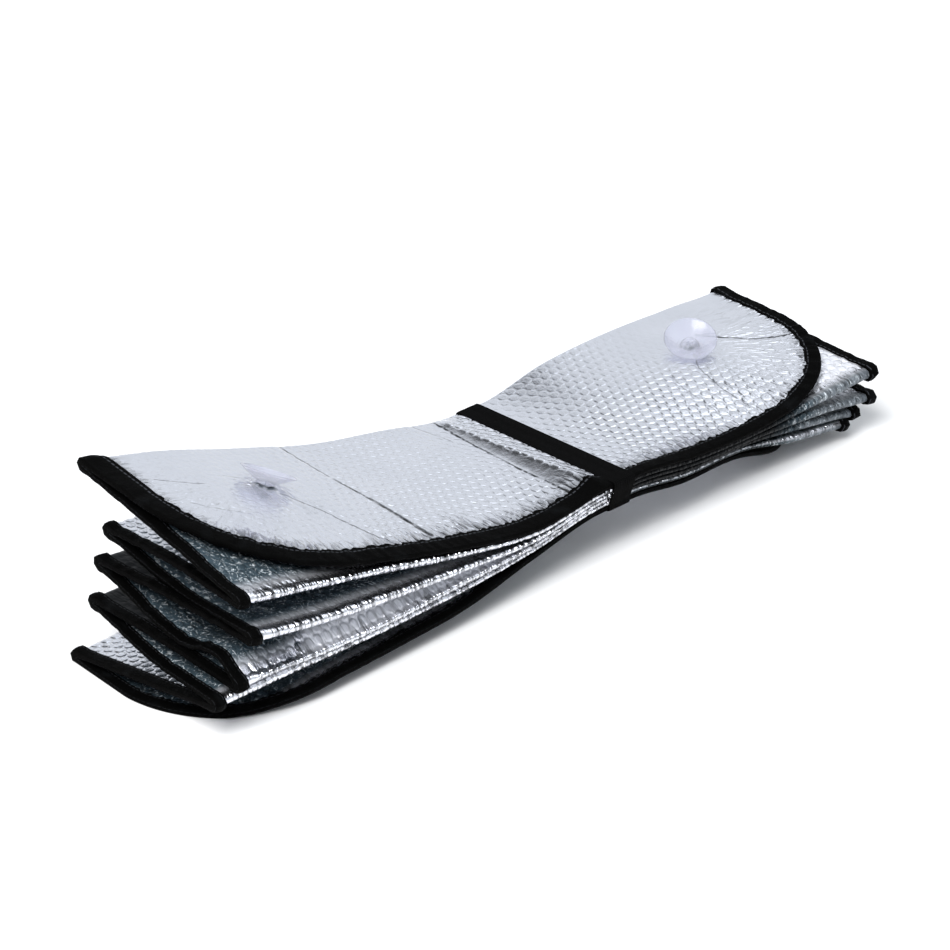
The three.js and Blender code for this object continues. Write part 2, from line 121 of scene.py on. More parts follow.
# The punched holes of the cups: in from the long edge, and in from each end.
CUP_EDGE, CUP_LEFT, CUP_RIGHT = 96.0, 108.0, 89.0
LEFT_HOLE, RIGHT_HOLE = CUP_LEFT - HALF, HALF - CUP_RIGHT

# Where the strap's middle, the far folds and the floor lie in the shared frame.
strap_low, strap_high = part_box("elastic_strap")
far_side = ACROSS_STRAP[1] + PINCHED_THICKNESS / 2 + STRAP_CLEARANCE + STRAP_THICKNESS
ORIGIN = np.array([
    (strap_low[0] + strap_high[0]) / 2,
    strap_high[1] - far_side * MM,
    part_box("edge_binding")[0][2],
])


def ease(t):
    """A soft step: 0 below 0, 1 above 1, and 3 t squared less 2 t cubed between."""
    t = np.clip(t, 0, 1)
    return t * t * (3 - 2 * t)


def hump(x, wide, power=2):
    """A hill 1 high at x = 0: e to the minus (|x| over its width, to a power)."""
    return np.exp(-(np.abs(x) / wide) ** power)


def along_arm(values, share):
    """Catmull-Rom curve through equally spaced values, level where it starts."""
    values = np.asarray(values, float)
    last = len(values) - 1
    place = np.clip(share, 0, 1) * last
    i = np.clip(np.floor(place).astype(int), 0, last - 1)
    f = place - i
    padded = np.concatenate([[values[1]], values, [2 * values[-1] - values[-2]]])
    before, a, b, after = padded[i], padded[i + 1], padded[i + 2], padded[i + 3]
    slope_in, slope_out, rise = (b - before) / 2, (after - a) / 2, b - a
    bend = 3 * rise - 2 * slope_in - slope_out + f * (slope_in + slope_out - 2 * rise)
    return a + f * (slope_in + f * bend)


def strap_height(line):
    """Height of a line under the strap: one layer pitch per panel, and the tape's lift outside."""
    if line == 0:
        return FLOOR_HEIGHT + LAYER_PITCH * (PANELS - 1) + SEWN_LIFT
    if line == PANELS:
        return FLOOR_HEIGHT - SEWN_LIFT
    return FLOOR_HEIGHT + LAYER_PITCH * (PANELS - 0.5 - line)


def section(s):
    """The folded cross-section at each station s.

    Every fold is a circle round its line, and every panel is the straight line that touches the
    circles at its two sides, crossing from under one to over the next. Each line's place goes
    from its place at the strap to its place at the arm's end, by an eased share of the arm.
    """
    s = np.asarray(s, float)
    left = s < STRAP_AT
    arm = np.where(left, HALF + STRAP_AT, HALF - STRAP_AT)
    away = np.abs(s - STRAP_AT) / arm
    share = np.clip((np.abs(s - STRAP_AT) - SQUEEZED) / (arm - SQUEEZED), 0, 1)
    eased = ease(share)
    # The two lowest lines of the left arm are down before its end, and lie flat from there.
    lowered = np.clip(share / np.where(left, 1 - REST_LENGTH / (arm - SQUEEZED), 1), 0, 1)

    def height(line):
        """The line's height: its curve along the arm that the station is on."""
        along = share if line < PANELS - 1 else lowered
        low = [strap_height(line)]
        return np.where(left, along_arm(low + LEFT_HEIGHTS[line], along),
                        along_arm(low + RIGHT_HEIGHTS[line], along))

    z = {line: height(line) for line in LEFT_HEIGHTS}
    for line in (3, 5, 7):
        end = np.where(left, FAR_SHARE["left"][line], FAR_SHARE["right"][line])
        part = FAR_SHARE["strap"][line] * (1 - share) + end * share
        z[line] = z[9] + (z[1] - z[9]) * part
    swells = [(share - a) / (b - a) for a, b in (LEFT_SWELLS, RIGHT_SWELLS)]
    swollen = np.where(left, ease(swells[0]), ease(swells[1]))
    radius = PINCHED_RADIUS + (FREE_RADIUS - PINCHED_RADIUS) * swollen
    middle = np.sin(math.pi * lowered) ** 2
    x, y, cz, r = [], [], [], []
    for line in range(PANELS + 1):
        free = line in (0, PANELS)
        end = np.where(left, ACROSS_LEFT[line], ACROSS_RIGHT[line])
        across = ACROSS_STRAP[line] + (end - ACROSS_STRAP[line]) * eased
        inward = 0 if free else (-1 if line % 2 else 1) * radius
        x.append(np.where(left, -REACH_LEFT[line], REACH_RIGHT[line]) * away)
        y.append(across + inward)
        cz.append(z[line])
        r.append(radius * (0 if free else 1))
    x, y, cz, r = (np.array(each) for each in (x, y, cz, r))
    dy, dz = np.diff(y, axis=0), np.diff(cz, axis=0)
    total = r[:-1] + r[1:]
    length = np.sqrt(dy**2 + dz**2 - total**2)
    side = np.where(np.arange(PANELS) % 2, -1, 1)[:, None]
    angle = np.arctan2(dz, dy) + side * np.arctan2(total, length)
    return {
        "s": s, "x": x, "y": y, "z": cz, "r": r, "length": length, "angle": angle,
        "uy": np.cos(angle), "uz": np.sin(angle),
        "run_y": y[:-1] + side * r[:-1] * np.sin(angle),
        "run_z": cz[:-1] - side * r[:-1] * np.cos(angle),
        "thickness": PINCHED_THICKNESS + (FREE_THICKNESS - PINCHED_THICKNESS) * swollen,
        "bow": np.array([
            np.where(left, END_BOW_LEFT[p] * swollen + MIDDLE_BOW_LEFT[p] * middle,
                     MIDDLE_BOW_RIGHT[p] * middle)
            for p in range(PANELS)
        ]),
        "swollen": swollen,
    }


# The first far fold's tip stands 3 mm higher over the last 50 mm of the left end.
TIP_LIFT, TIP_LENGTH, TIP_SPREAD = 3.0, 50, 60


def folded(sec, i, v, offset):
    """Points of the folded sheet, in mm: station index i, place v, offset from the film's middle.

    On a panel the point goes along the straight run and off it by the offset, with a bow of sine
    squared. Within 3.4 mm of a line it goes round the fold's circle by a share of the turn.
    """
    i, v, offset = np.broadcast_arrays(i, v, offset)
    line = np.clip(np.round(v / PANEL).astype(int), 1, PANELS - 1)
    from_fold = v - line * PANEL
    on_fold = np.abs(from_fold) < FOLD_HALF
    panel = np.clip(np.floor(v / PANEL).astype(int), 0, PANELS - 1)
    start = np.where(panel == 0, 0, FOLD_HALF)
    end = np.where(panel == PANELS - 1, PANEL, PANEL - FOLD_HALF)
    t = (v - panel * PANEL - start) / (end - start)
    held = np.clip(t, 0, 1)
    d = sec["length"][panel, i] * t
    uy, uz = sec["uy"][panel, i], sec["uz"][panel, i]
    lift = sec["bow"][panel, i] * np.sin(math.pi * held) ** 2
    x = sec["x"][panel, i] + (sec["x"][panel + 1, i] - sec["x"][panel, i]) * held
    y = sec["run_y"][panel, i] + uy * d - uz * offset
    z = sec["run_z"][panel, i] + uz * d + uy * offset + lift
    before = sec["angle"][line - 1, i]
    clockwise = np.where(line % 2, 1, -1)
    turn = sec["angle"][line, i] - before
    turn = np.where((clockwise > 0) & (turn > 0), turn - 2 * math.pi, turn)
    turn = np.where((clockwise < 0) & (turn < 0), turn + 2 * math.pi, turn)
    angle = before + turn * (from_fold + FOLD_HALF) / (2 * FOLD_HALF)
    reach = sec["r"][line, i] + clockwise * offset
    x = np.where(on_fold, sec["x"][line, i], x)
    y = np.where(on_fold, sec["y"][line, i] - clockwise * reach * np.sin(angle), y)
    z = np.where(on_fold, sec["z"][line, i] + clockwise * reach * np.cos(angle), z)
    at_tip = ease((-sec["s"][i] - HALF + TIP_LENGTH) / TIP_LENGTH)
    z = z + TIP_LIFT * at_tip * hump(v - PANEL, TIP_SPREAD)
    return np.stack([x, y, z], -1)


def hashed(ix, iy, seed):
    """Repeatable values from -1 to 1, one for each whole-numbered place: its numbers scrambled."""
    n = (ix.astype(np.int64) * 374761393 + iy.astype(np.int64) * 668265263 + seed * 1274126177)
    n = n & 0xFFFFFFFF
    n = ((n ^ (n >> 13)) * 1103515245) & 0xFFFFFFFF
    n = ((n ^ (n >> 16)) * 12345677) & 0xFFFFFFFF
    return (n & 0xFFFFFF) / float(0x7FFFFF) - 1


def noise(x, y, seed):
    """Smooth noise from -1 to 1, a unit wide: values at whole places, blended by a soft step."""
    x, y = np.broadcast_arrays(np.asarray(x, float), np.asarray(y, float))
    ix, iy = np.floor(x), np.floor(y)
    fx, fy = x - ix, y - iy
    fx, fy = fx**3 * (fx * (6 * fx - 15) + 10), fy**3 * (fy * (6 * fy - 15) + 10)
    a, b = hashed(ix, iy, seed), hashed(ix + 1, iy, seed)
    c, d = hashed(ix, iy + 1, seed), hashed(ix + 1, iy + 1, seed)
    return (a + (b - a) * fx) * (1 - fy) + (c + (d - c) * fx) * fy


def along_noise(x, seed):
    """The same noise along one direction only."""
    return noise(x, 0 * x, seed)


def inset(s):
    """How far the round corners cut into the free edges: the radius less the circle's height."""
    past = np.maximum(0, np.abs(s) - (HALF - CORNER))
    return CORNER - np.sqrt(np.maximum(0, CORNER**2 - past**2))


def from_edge(s, v):
    """Distance in from the sheet's outline, and distance along it.

    Beside a corner the first is the radius less the distance from the corner's centre, and the
    second the radius times the angle. Elsewhere they are the distances to and along the side.
    """
    across = v - FLAT_WIDTH / 2
    qx, qy = np.abs(s) - (HALF - CORNER), np.abs(across) - (FLAT_WIDTH / 2 - CORNER)
    corner = (qx > 0) & (qy > 0)
    depth = np.where(corner, CORNER - np.hypot(qx, qy), np.minimum(CORNER - qx, CORNER - qy))
    round_it = HALF - CORNER + np.arctan2(np.maximum(qx, 0), np.maximum(qy, 1e-6)) * CORNER
    down_end = HALF - CORNER + math.pi / 2 * CORNER - np.minimum(qy, 0)
    along = np.sign(s) * np.where(corner, round_it, np.where(qx > qy, down_end, np.abs(s)))
    return depth, along


def between(v, first, last):
    """True where v lies between two lines, which are counted in panels."""
    return (v > first * PANEL) & (v < last * PANEL)


def from_near_fold(v):
    """Distance over the film to the nearest even line: v less the nearest whole pair of panels."""
    return np.abs(v - np.round(v / (2 * PANEL)) * 2 * PANEL)


# Creases of the top panel: paths over the flat sheet, depth, and how strong the painted shade
# line along each is.
CREASES = [
    ([(-132, 150), (-130, 101)], 0.7, 0.8),
    ([(-129, 97), (-124, 70)], 0.9, 1.2),
    ([(-124, 70), (-122, 57), (-118, 20)], 1.0, 1.75),
    ([(-189, 84), (-175, 59), (-160, 24)], 0.5, 0.75),
    ([(-10, 150), (0, 118)], 0.4, 0.45),
    ([(226, 104), (256, 78), (280, 66)], 0.8, 1.0),
    ([(205, 86), (195, 72), (190, 48), (191, 22)], 0.6, 0.6),
    ([(172, 78), (168, 60), (168, 30)], 0.5, 0.4),
    ([(-268, 116), (-252, 108), (-238, 103)], 0.4, 0.6),
    ([(-266, 84), (-252, 74), (-238, 66)], 0.4, 0.4),
    ([(-214, 112), (-200, 106)], 0.3, 0.4),
]
GROOVE, LIP_AT, LIP, CREASE_REACH = 1.6, 4, 3, 12


def crease_lift(s, v):
    """The creases: a groove dying away by e to the minus distance, and a low lip on one side."""
    lift = np.zeros(np.broadcast(s, v).shape)
    for path, deep, _ in CREASES:
        for (s0, v0), (s1, v1) in zip(path, path[1:]):
            ds, dv = s1 - s0, v1 - v0
            t = np.clip(((s - s0) * ds + (v - v0) * dv) / (ds**2 + dv**2), 0, 1)
            away = np.hypot(s - s0 - ds * t, v - v0 - dv * t)
            side = np.sign((s - s0) * dv - (v - v0) * ds)
            grooved = np.minimum(lift, -deep * hump(away, GROOVE, 1))
            lip = 0.25 * deep * side * hump(away - LIP_AT, LIP)
            lift = np.where(away < CREASE_REACH, grooved + lip, lift)
    return lift


# The pleat that the strap pushes up: its foot and its end along the sheet, its crest's place and
# height at the far fold, and how much both grow towards the near edge.
PLEAT_FOOT, PLEAT_END = 8.3, 36
CREST_AT, CREST_DRIFT, CREST_HEIGHT, CREST_GROWTH = 14.5, 11, 2.4, 2.6


def pleat_crest(v):
    """The crest's place: its place at the far fold, and its drift times the share from there."""
    return CREST_AT + CREST_DRIFT * np.clip(1 - v / PANEL, 0, 1)


def pleat(s, v):
    """Height of the pleat: a concave rise to the crest and a slow fall to the strap.

    The rise is the share of the way up, to the power 1.35. It is highest at the near edge.
    """
    crest = pleat_crest(v) + 0.8 * along_noise(v / 9, 33)
    foot = PLEAT_FOOT + along_noise(v / 34, 31)
    rise = np.clip((s - foot) / (crest - foot), 0, 1) ** 1.35
    fall = (1 - 0.7 * ease((s - crest) / (PLEAT_END - crest))) * (1 - ease((s - PLEAT_END) / 3))
    strength = ease(v / 18 + 0.3) * ease((PANEL - v) / 14) * (1 + 0.1 * along_noise(v / 21, 32))
    height = CREST_HEIGHT + CREST_GROWTH * np.clip(1 - v / PANEL, 0, 1)
    raised = height * np.where(s < crest, rise, fall) * strength
    return np.where((s > foot) & (v < PANEL), raised, 0.0)


BELLY_HEIGHT, BELLY_WIDTH, BELLY_EDGE = 9.5, 62, 40


def belly(s, v):
    """How far the sixth panel stands out near its fold, left of the strap: sine squared."""
    share = np.clip((6 * PANEL - v - FOLD_HALF) / BELLY_WIDTH, 0, 1)
    return BELLY_HEIGHT * np.sin(math.pi * share**0.7) ** 2 * ease((20 - s) / 130)


# Gathers stand 1.1 mm, full from 6 mm in and dying away over 11 mm more, in ripples 6.5 and 3.7 mm
# wide. Dents are about 70 by 55 mm and 28 by 34 mm. An eighth of them is left under the strap,
# and a quarter of the gathers, with no dents, where the sheet lies on the floor.
GATHER_HEIGHT, GATHER_FULL, GATHER_FADE, EDGE_RISE = 1.1, 6, 11, 6
WIDE_RIPPLE, FINE_RIPPLE, RIPPLE_SWELL = (6.5, 60), (3.7, 30), 45
WIDE_DENT, FINE_DENT, FINE_SHARE = (70, 55), (28, 34), 0.4
STRAP_ROOM, FLOOR_ROOM = 0.12, 0.25


def waves(s, v, swollen):
    """How far the film's middle stands off its smooth shape.

    Gathers beside the tape are two ripples along the edge, dying away inward. Soft dents are two
    wider noises over the panels, and none where the sheet lies on the floor. Creases, pleat and
    belly are added.
    """
    depth, along = from_edge(s, v)
    gathered = hump(np.clip(depth - GATHER_FULL, 0, None), GATHER_FADE, 1)
    gathered = gathered * (1 - hump(np.clip(depth + 4, 0, None), EDGE_RISE, 1))
    ripple = noise(along / WIDE_RIPPLE[0], depth / WIDE_RIPPLE[1], 3)
    ripple = ripple + noise(along / FINE_RIPPLE[0], depth / FINE_RIPPLE[1], 4)
    strength = 0.3 + 0.9 * (0.5 + 0.5 * along_noise(along / RIPPLE_SWELL, 5))
    dents = noise(s / WIDE_DENT[0], v / WIDE_DENT[1], 6)
    dents = dents + FINE_SHARE * noise(s / FINE_DENT[0], v / FINE_DENT[1], 7)
    inner = np.clip((depth - 8) / 30, 0, 1)
    room = STRAP_ROOM + (1 - STRAP_ROOM) * swollen
    off_floor = 1 - ease((v - FLAT_WIDTH + 2 * PANEL + 40) / 60)
    ruffle = GATHER_HEIGHT * gathered * ripple * strength
    ruffle = ruffle * (FLOOR_ROOM + (1 - FLOOR_ROOM) * off_floor)
    smooth = room * (ruffle + dents * inner * off_floor)
    return smooth + crease_lift(s, v) + pleat(s, v) - belly(s, v)


# Shares of the tape's width: turned under right of the strap and over the folds, and to spare at
# the first far fold's left tip.
RIGHT_TUCK, FOLD_TUCK, TIP_SPARE, TIP_REACH = 0.32, 0.46, 0.5, 75


def tape_share(s, v):
    """The tape's width as a share of its full width.

    It is full round the top panel's left, a third narrower right of the strap, nearly half over
    the folds where it is turned in deeper, and half as wide again at the first far fold's left tip.
    """
    right = ease((s - STRAP_AT + 10) / 20)
    folds = ease((v - 0.9 * PANEL) / 50)
    first_tip = hump(v - PANEL, TIP_REACH) * ease((-s - 190) / 90)
    return 1 - np.maximum(RIGHT_TUCK * right, FOLD_TUCK * folds) + TIP_SPARE * first_tip


# How plump the bubbles are at the least: left and right of the strap, on the pleat's face, on the
# climbing panels and on the folds, with what the inner film has more than its folds. Then what
# share the two ends of the top panel lose.
LEFT_LEAST, RIGHT_LEAST, FLAT_FACE, CLIMBING = 0.42, 0.3, 0.05, 0.15
ON_FOLD, INNER_MORE = 0.2, 0.7
LEFT_LOSS, RIGHT_LOSS = 0.5, 0.68
# Where the two climbing panels begin to climb, at the left end.
CLIMB_FROM = -190


def fullness(s, v):
    """How plump the bubbles are, from 0 to 1.

    On the top panel they are slack left of the strap, flat on the pleat's face, and full right of
    the strap towards the near edge, fading to the end. Inside, they are flat on the folds, and
    slack on the two panels that climb at the left end.
    """
    right = (RIGHT_LEAST + 0.7 * ease(1.22 - v / 100)) * (1 - RIGHT_LOSS * ease((s - 140) / 80))
    right = right * (0.85 + 0.3 * noise(s / 24, v / 18, 24))
    left = (LEFT_LEAST + 0.2 * ease(1 - v / 60)) * (1 - LEFT_LOSS * ease((-130 - s) / 50))
    on_pleat = FLAT_FACE + 0.75 * ease((s - pleat_crest(v) + 3) / 5)
    top = np.where(s > STRAP_AT, right, np.where(s > PLEAT_FOOT, on_pleat, left))
    on_belly = (v >= 6 * PANEL - BELLY_EDGE) & (v <= 6 * PANEL)
    off_fold = np.where(on_belly, 1.0, ease((from_near_fold(v) - 5) / 6))
    climbing = (between(v, 4, 5) | between(v, 6, 7)) & (s < CLIMB_FROM)
    inside = np.where(climbing, CLIMBING, ON_FOLD + INNER_MORE * off_fold)
    return np.where(v < PANEL, top, inside)


# The painted shade of the left mouths and of the inner film right of the strap, the painted shade
# round the cups' holes, and how open the far right corner is.
DUSK, INNER_SHADE, HOLE_SHADE, OPEN_CORNER = 0.7, 0.85, 0.95, 0.5
# Half the width of the painted shade over a near fold, the mouths' start in from it, and the
# holes' rims.
FOLD_DARK, MOUTH_FROM, MOUTH_RAMP, HOLE_RIM, RAG = 10, 5, 13, 7.5, 2.5
# The glinting line on the lowest near fold: how far short of it, and half its width.
GLINT_SHORT, GLINT_WIDE = 1.5, 0.9


def painted_shade(s, v):
    """Painted shade in the folds: how far the film's colour is darkened where shade falls.

    It is 0 in the open, 0.7 in the left mouths and 1 where the film is pressed shut. Below 0 it
    is open film that the light reaches through the fold: silver, but duller than a mirror.
    """
    near = from_near_fold(v)
    # Right of the strap: painted shade on the near folds and the inner film, but for one glinting
    # line.
    near_fold = hump(near, FOLD_DARK, 4) * between(v, 1.5, 9) * (1 - 0.4 * ease((s - 190) / 60))
    glint = hump(v - 8 * PANEL + GLINT_SHORT, GLINT_WIDE) * (np.abs(v - 8 * PANEL) < 20)
    inner = INNER_SHADE - 0.35 * ease((s - 170) / 60)
    inner = inner * ease((near - 6) / 20) * between(v, 2, 9)
    right = ease((s - STRAP_AT) / 8) * np.maximum(near_fold * (1 - glint), inner)
    # Left of the strap: painted shade in the mouths between the panels, on the bottom panel and on
    # the climbing panels.
    inside = between(v, 3.02, 7.98) | between(v, 1.02, 1.98) & (s < -60)
    mouths = ease((near - MOUTH_FROM) / MOUTH_RAMP) * inside
    lower = ease((near - MOUTH_FROM) / 10) * between(v, 7, 8)
    under = ease((FLAT_WIDTH - v - 8) / 10) * (v > 9 * PANEL)
    left = ease((STRAP_AT - s) / 60) * DUSK * np.maximum(np.maximum(mouths, lower), under)
    climbing = between(v, 4, 5) | between(v, 6, 7)
    night = np.where(climbing, ease((-225 - s) / 30) * ease((near - 30) / 30), 0)
    shut = np.clip(np.maximum(np.maximum(left, night), right), 0, 1)
    # Painted shade round the cups' holes, under the cups, in ragged patches nearly black.
    holes = np.zeros(np.broadcast(s, v).shape)
    for hole in (LEFT_HOLE, RIGHT_HOLE):
        rim = hump(np.hypot(s - hole, v - CUP_EDGE), HOLE_RIM, 4)
        rim_patches = ease(0.7 + 1.2 * noise(s / RAG, v / RAG, 51))
        holes = np.maximum(holes, HOLE_SHADE * rim * rim_patches)
    # Open film: the far corner of the right end, and the belly of the sixth panel.
    open_end = ease((s - 165) / 45) * ease((298 - v) / 10) * between(v, 1, 2)
    band = ease((20 - s) / 60) * ease((s + 252) / 26)
    band = band * ease((6 * PANEL - v) / 6) * ease((v - 5.5 * PANEL) / 12)
    shown = np.maximum(OPEN_CORNER * open_end, DUSK * band)
    return np.where(shown > 0, shut * (1 - shown / DUSK) - shown, np.maximum(shut, holes))


# Air bubbles 7.8 mm apart in staggered rows, each a dome of 3.6 mm radius.
PITCH, DOME = 7.8, 3.6
ROW = math.sqrt(3)


def bubbles(s, v):
    """Height of the bubbles, from 0 to 1: half a sphere round the nearest place of two lattices."""
    nearest = np.full(np.broadcast(s, v).shape, 1e9)
    for shift in (0.0, 0.5):
        a = (s / PITCH + shift) % 1 - 0.5
        b = (v / (PITCH * ROW) + shift) % 1 - 0.5
        nearest = np.minimum(nearest, np.hypot(a * PITCH, b * PITCH * ROW))
    return np.sqrt(np.clip(1 - (nearest / DOME) ** 2, 0, 1))


def linear(code):
    """An sRGB hex colour as linear light: c / 12.92 when dark, else ((c + 0.055) / 1.055) ^ 2.4."""
    parts = [int(code[i:i + 2], 16) / 255 for i in (1, 3, 5)]
    return [c / 12.92 if c <= 0.04045 else ((c + 0.055) / 1.055) ** 2.4 for c in parts] + [1.0]


def new_material(name):
    """An empty material, with its nodes and its surface shader."""
    material = bpy.data.materials.new(name)
    material.use_nodes = True
    nodes = material.node_tree.nodes
    return material, nodes, nodes["Principled BSDF"]


def add_node(nodes, kind, links=(), values=(), **settings):
    """A node with its settings. Links and values are pairs of an input and what goes into it."""
    node = nodes.new(kind)
    for key, value in settings.items():
        if hasattr(node, key):
            setattr(node, key, value)
        else:
            node.inputs[key.replace("_", " ")].default_value = value
    for target, value in values:
        node.inputs[target].default_value = value
    for target, socket in links:
        node.id_data.links.new(socket, node.inputs[target])
    return node


def grain(size):
    """A noise texture's scale for features of this many mm: one over their size in metres."""
    return 1 / (size * MM)


# Metallised bubble film: polyethylene welded over air bubbles, with aluminium laid on its face
# in a vacuum. To the eye it is a bright, faintly blue mirror, broken up by crinkles of 4 mm and
# by the bubbles' domes, and dull where it is slack or creased. The vector "lay" holds how plump
# the bubbles are, how much painted shade the fold gets, and how near the tape's gathers are.
SILVER_LOW, SILVER_HIGH = "#dfe1e8", "#e9eaf0"
# Painted shade of the folds' mouths and of the shut folds, and painted glints over the mouths.
MOUTH_SHADE, PAINTED_GLINT, SHUT_SHADE = "#37444c", "#d5dde2", "#0a0c0e"
# Painted shade in the creases and in the gathers beside the tape.
CREASE_SHADE, GATHER_SHADE = "#15191d", "#0d1013"
foil_film, nodes, film = new_material("metallised_bubble_film")
link = foil_film.node_tree.links.new
flat_uv = add_node(nodes, "ShaderNodeUVMap", uv_map="flat").outputs[0]
lay = add_node(nodes, "ShaderNodeAttribute", attribute_name="lay").outputs["Vector"]
lay = add_node(nodes, "ShaderNodeSeparateXYZ", [(0, lay)])
plump_here, painted_shade_here, gathers_here = lay.outputs
crinkle = add_node(nodes, "ShaderNodeTexNoise", [("Vector", flat_uv)],
                   Scale=grain(3.846), Detail=5.0, Roughness=0.62)
cloud = add_node(nodes, "ShaderNodeTexNoise", [("Vector", flat_uv)], Scale=grain(45.45), Detail=3.0)
tint = add_node(nodes, "ShaderNodeMix", [(0, cloud.outputs["Fac"])],
                [(6, linear(SILVER_LOW)), (7, linear(SILVER_HIGH))], data_type="RGBA")
# Painted shade in the folds: teal grey in the mouths with painted glints, nearly black where shut.
dusk = add_node(nodes, "ShaderNodeMapRange", [("Value", painted_shade_here)],
                From_Min=0.0, From_Max=DUSK, To_Min=0.0, To_Max=1.0)
night = add_node(nodes, "ShaderNodeMapRange", [("Value", painted_shade_here)],
                 From_Min=DUSK, From_Max=1.0, To_Min=0.0, To_Max=1.0)
shaded = add_node(nodes, "ShaderNodeMix", [(0, dusk.outputs[0]), (6, tint.outputs[2])],
                  [(7, linear(MOUTH_SHADE))], data_type="RGBA")
# Painted glints: light specks mixed into the painted shade of the mouths.
glint_noise = add_node(nodes, "ShaderNodeTexNoise", [("Vector", flat_uv)],
                  Scale=grain(5.263), Detail=4.0, Roughness=0.75, Distortion=2.0)
glint_mask = add_node(nodes, "ShaderNodeMapRange", [("Value", glint_noise.outputs["Fac"])],
                 From_Min=0.55, From_Max=0.64, To_Min=0.0, To_Max=0.9)
glint_mask = add_node(nodes, "ShaderNodeMath", [(0, glint_mask.outputs[0]), (1, dusk.outputs[0])],
                 operation="MULTIPLY")
shaded = add_node(nodes, "ShaderNodeMix", [(0, glint_mask.outputs[0]), (6, shaded.outputs[2])],
                  [(7, linear(PAINTED_GLINT))], data_type="RGBA")
shaded = add_node(nodes, "ShaderNodeMix", [(0, night.outputs[0]), (6, shaded.outputs[2])],
                  [(7, linear(SHUT_SHADE))], data_type="RGBA")
# Painted shade: thin dark lines where the film is creased, 3 mm of wobble on them, and along the
# pleat's foot.
wobble = add_node(nodes, "ShaderNodeTexNoise", [("Vector", flat_uv)], Scale=grain(5.263), Detail=2.0)
shift = add_node(nodes, "ShaderNodeVectorMath", [(0, wobble.outputs["Color"])],
                 [(1, (0.5, 0.5, 0.5))], operation="SUBTRACT")
shift = add_node(nodes, "ShaderNodeVectorMath", [(0, shift.outputs[0])], [("Scale", 3.0 * MM)],
                 operation="SCALE")
bent = add_node(nodes, "ShaderNodeVectorMath", [(0, flat_uv), (1, shift.outputs[0])],
                operation="ADD").outputs[0]
PLEAT_LINE = ([(11, 149), (8.5, 106), (7.5, 60), (9.5, 4)], 1.5, 1.0)
lines = [(path, 0.7 + 0.85 * strong**2, strong) for path, _, strong in CREASES] + [PLEAT_LINE]
darkest = None
for path, wide, strong in lines:
    for start, end in zip(path, path[1:]):
        span = np.array([end[0] - start[0], end[1] - start[1], 0]) * MM
        out = add_node(nodes, "ShaderNodeVectorMath", [(0, bent)],
                       [(1, (start[0] * MM, start[1] * MM, 0))], operation="SUBTRACT")
        reach = add_node(nodes, "ShaderNodeVectorMath", [(0, out.outputs[0])],
                         [(1, tuple(span / (span @ span)))], operation="DOT_PRODUCT")
        held = add_node(nodes, "ShaderNodeClamp", [(0, reach.outputs["Value"])])
        foot = add_node(nodes, "ShaderNodeVectorMath", [("Scale", held.outputs[0])],
                        [(0, tuple(span))], operation="SCALE")
        gap = add_node(nodes, "ShaderNodeVectorMath", [(0, out.outputs[0]), (1, foot.outputs[0])],
                       operation="DISTANCE")
        line = add_node(nodes, "ShaderNodeMapRange", [("Value", gap.outputs["Value"])],
                        interpolation_type="SMOOTHSTEP", From_Min=0.25 * wide * MM,
                        From_Max=wide * MM, To_Min=min(strong, 1.0), To_Max=0.0).outputs[0]
        darkest = line if darkest is None else add_node(
            nodes, "ShaderNodeMath", [(0, darkest), (1, line)], operation="MAXIMUM").outputs[0]
broken = add_node(nodes, "ShaderNodeMapRange", [("Value", wobble.outputs["Fac"])],
                  From_Min=0.36, From_Max=0.5, To_Min=0.35, To_Max=1.0)
darkest = add_node(nodes, "ShaderNodeMath", [(0, darkest), (1, broken.outputs[0])],
                   operation="MULTIPLY").outputs[0]
crease_shaded = add_node(nodes, "ShaderNodeMix", [(0, darkest), (6, shaded.outputs[2])],
                   [(7, linear(CREASE_SHADE))], data_type="RGBA")
# Gathers: short folds square to the sewn tape, 4 mm apart along it and 14 mm long. Their dark
# strokes are painted shade, and they are bumped too.
edge_uv = add_node(nodes, "ShaderNodeUVMap", uv_map="edge").outputs[0]
stretched = add_node(nodes, "ShaderNodeVectorMath", [(0, edge_uv)],
                     [(1, (grain(4.0), grain(14.286), 1))], operation="MULTIPLY")
pucker = add_node(nodes, "ShaderNodeTexNoise", [("Vector", stretched.outputs[0])],
                  Scale=1.0, Detail=1.2, Roughness=0.5, Distortion=0.6)
stroke = add_node(nodes, "ShaderNodeMapRange", [("Value", pucker.outputs["Fac"])],
                  interpolation_type="SMOOTHSTEP", From_Min=0.54, From_Max=0.6, To_Min=0.0, To_Max=1.0)
stroke = add_node(nodes, "ShaderNodeMath", [(0, stroke.outputs[0]), (1, gathers_here)],
                  operation="MULTIPLY", use_clamp=True)
gathered = add_node(nodes, "ShaderNodeMix", [(0, stroke.outputs[0]), (6, crease_shaded.outputs[2])],
                    [(7, linear(GATHER_SHADE))], data_type="RGBA")
link(gathered.outputs[2], film.inputs["Base Color"])
# Shaded and slack film scatters more light than the taut film does.
scatter = add_node(nodes, "ShaderNodeMath", [(0, painted_shade_here)], operation="ABSOLUTE")
scatter = add_node(nodes, "ShaderNodeMapRange", [("Value", scatter.outputs[0])],
                   From_Min=0.0, From_Max=DUSK, To_Min=1.0, To_Max=0.22)
link(scatter.outputs[0], film.inputs["Metallic"])
film.inputs["Specular IOR Level"].default_value = 0.12
rough = add_node(nodes, "ShaderNodeMapRange", [("Value", crinkle.outputs["Fac"])],
                 To_Min=0.14, To_Max=0.32)
dulled = add_node(nodes, "ShaderNodeMix", [(0, painted_shade_here), (2, rough.outputs[0])], [(3, 0.5)])
link(dulled.outputs[0], film.inputs["Roughness"])
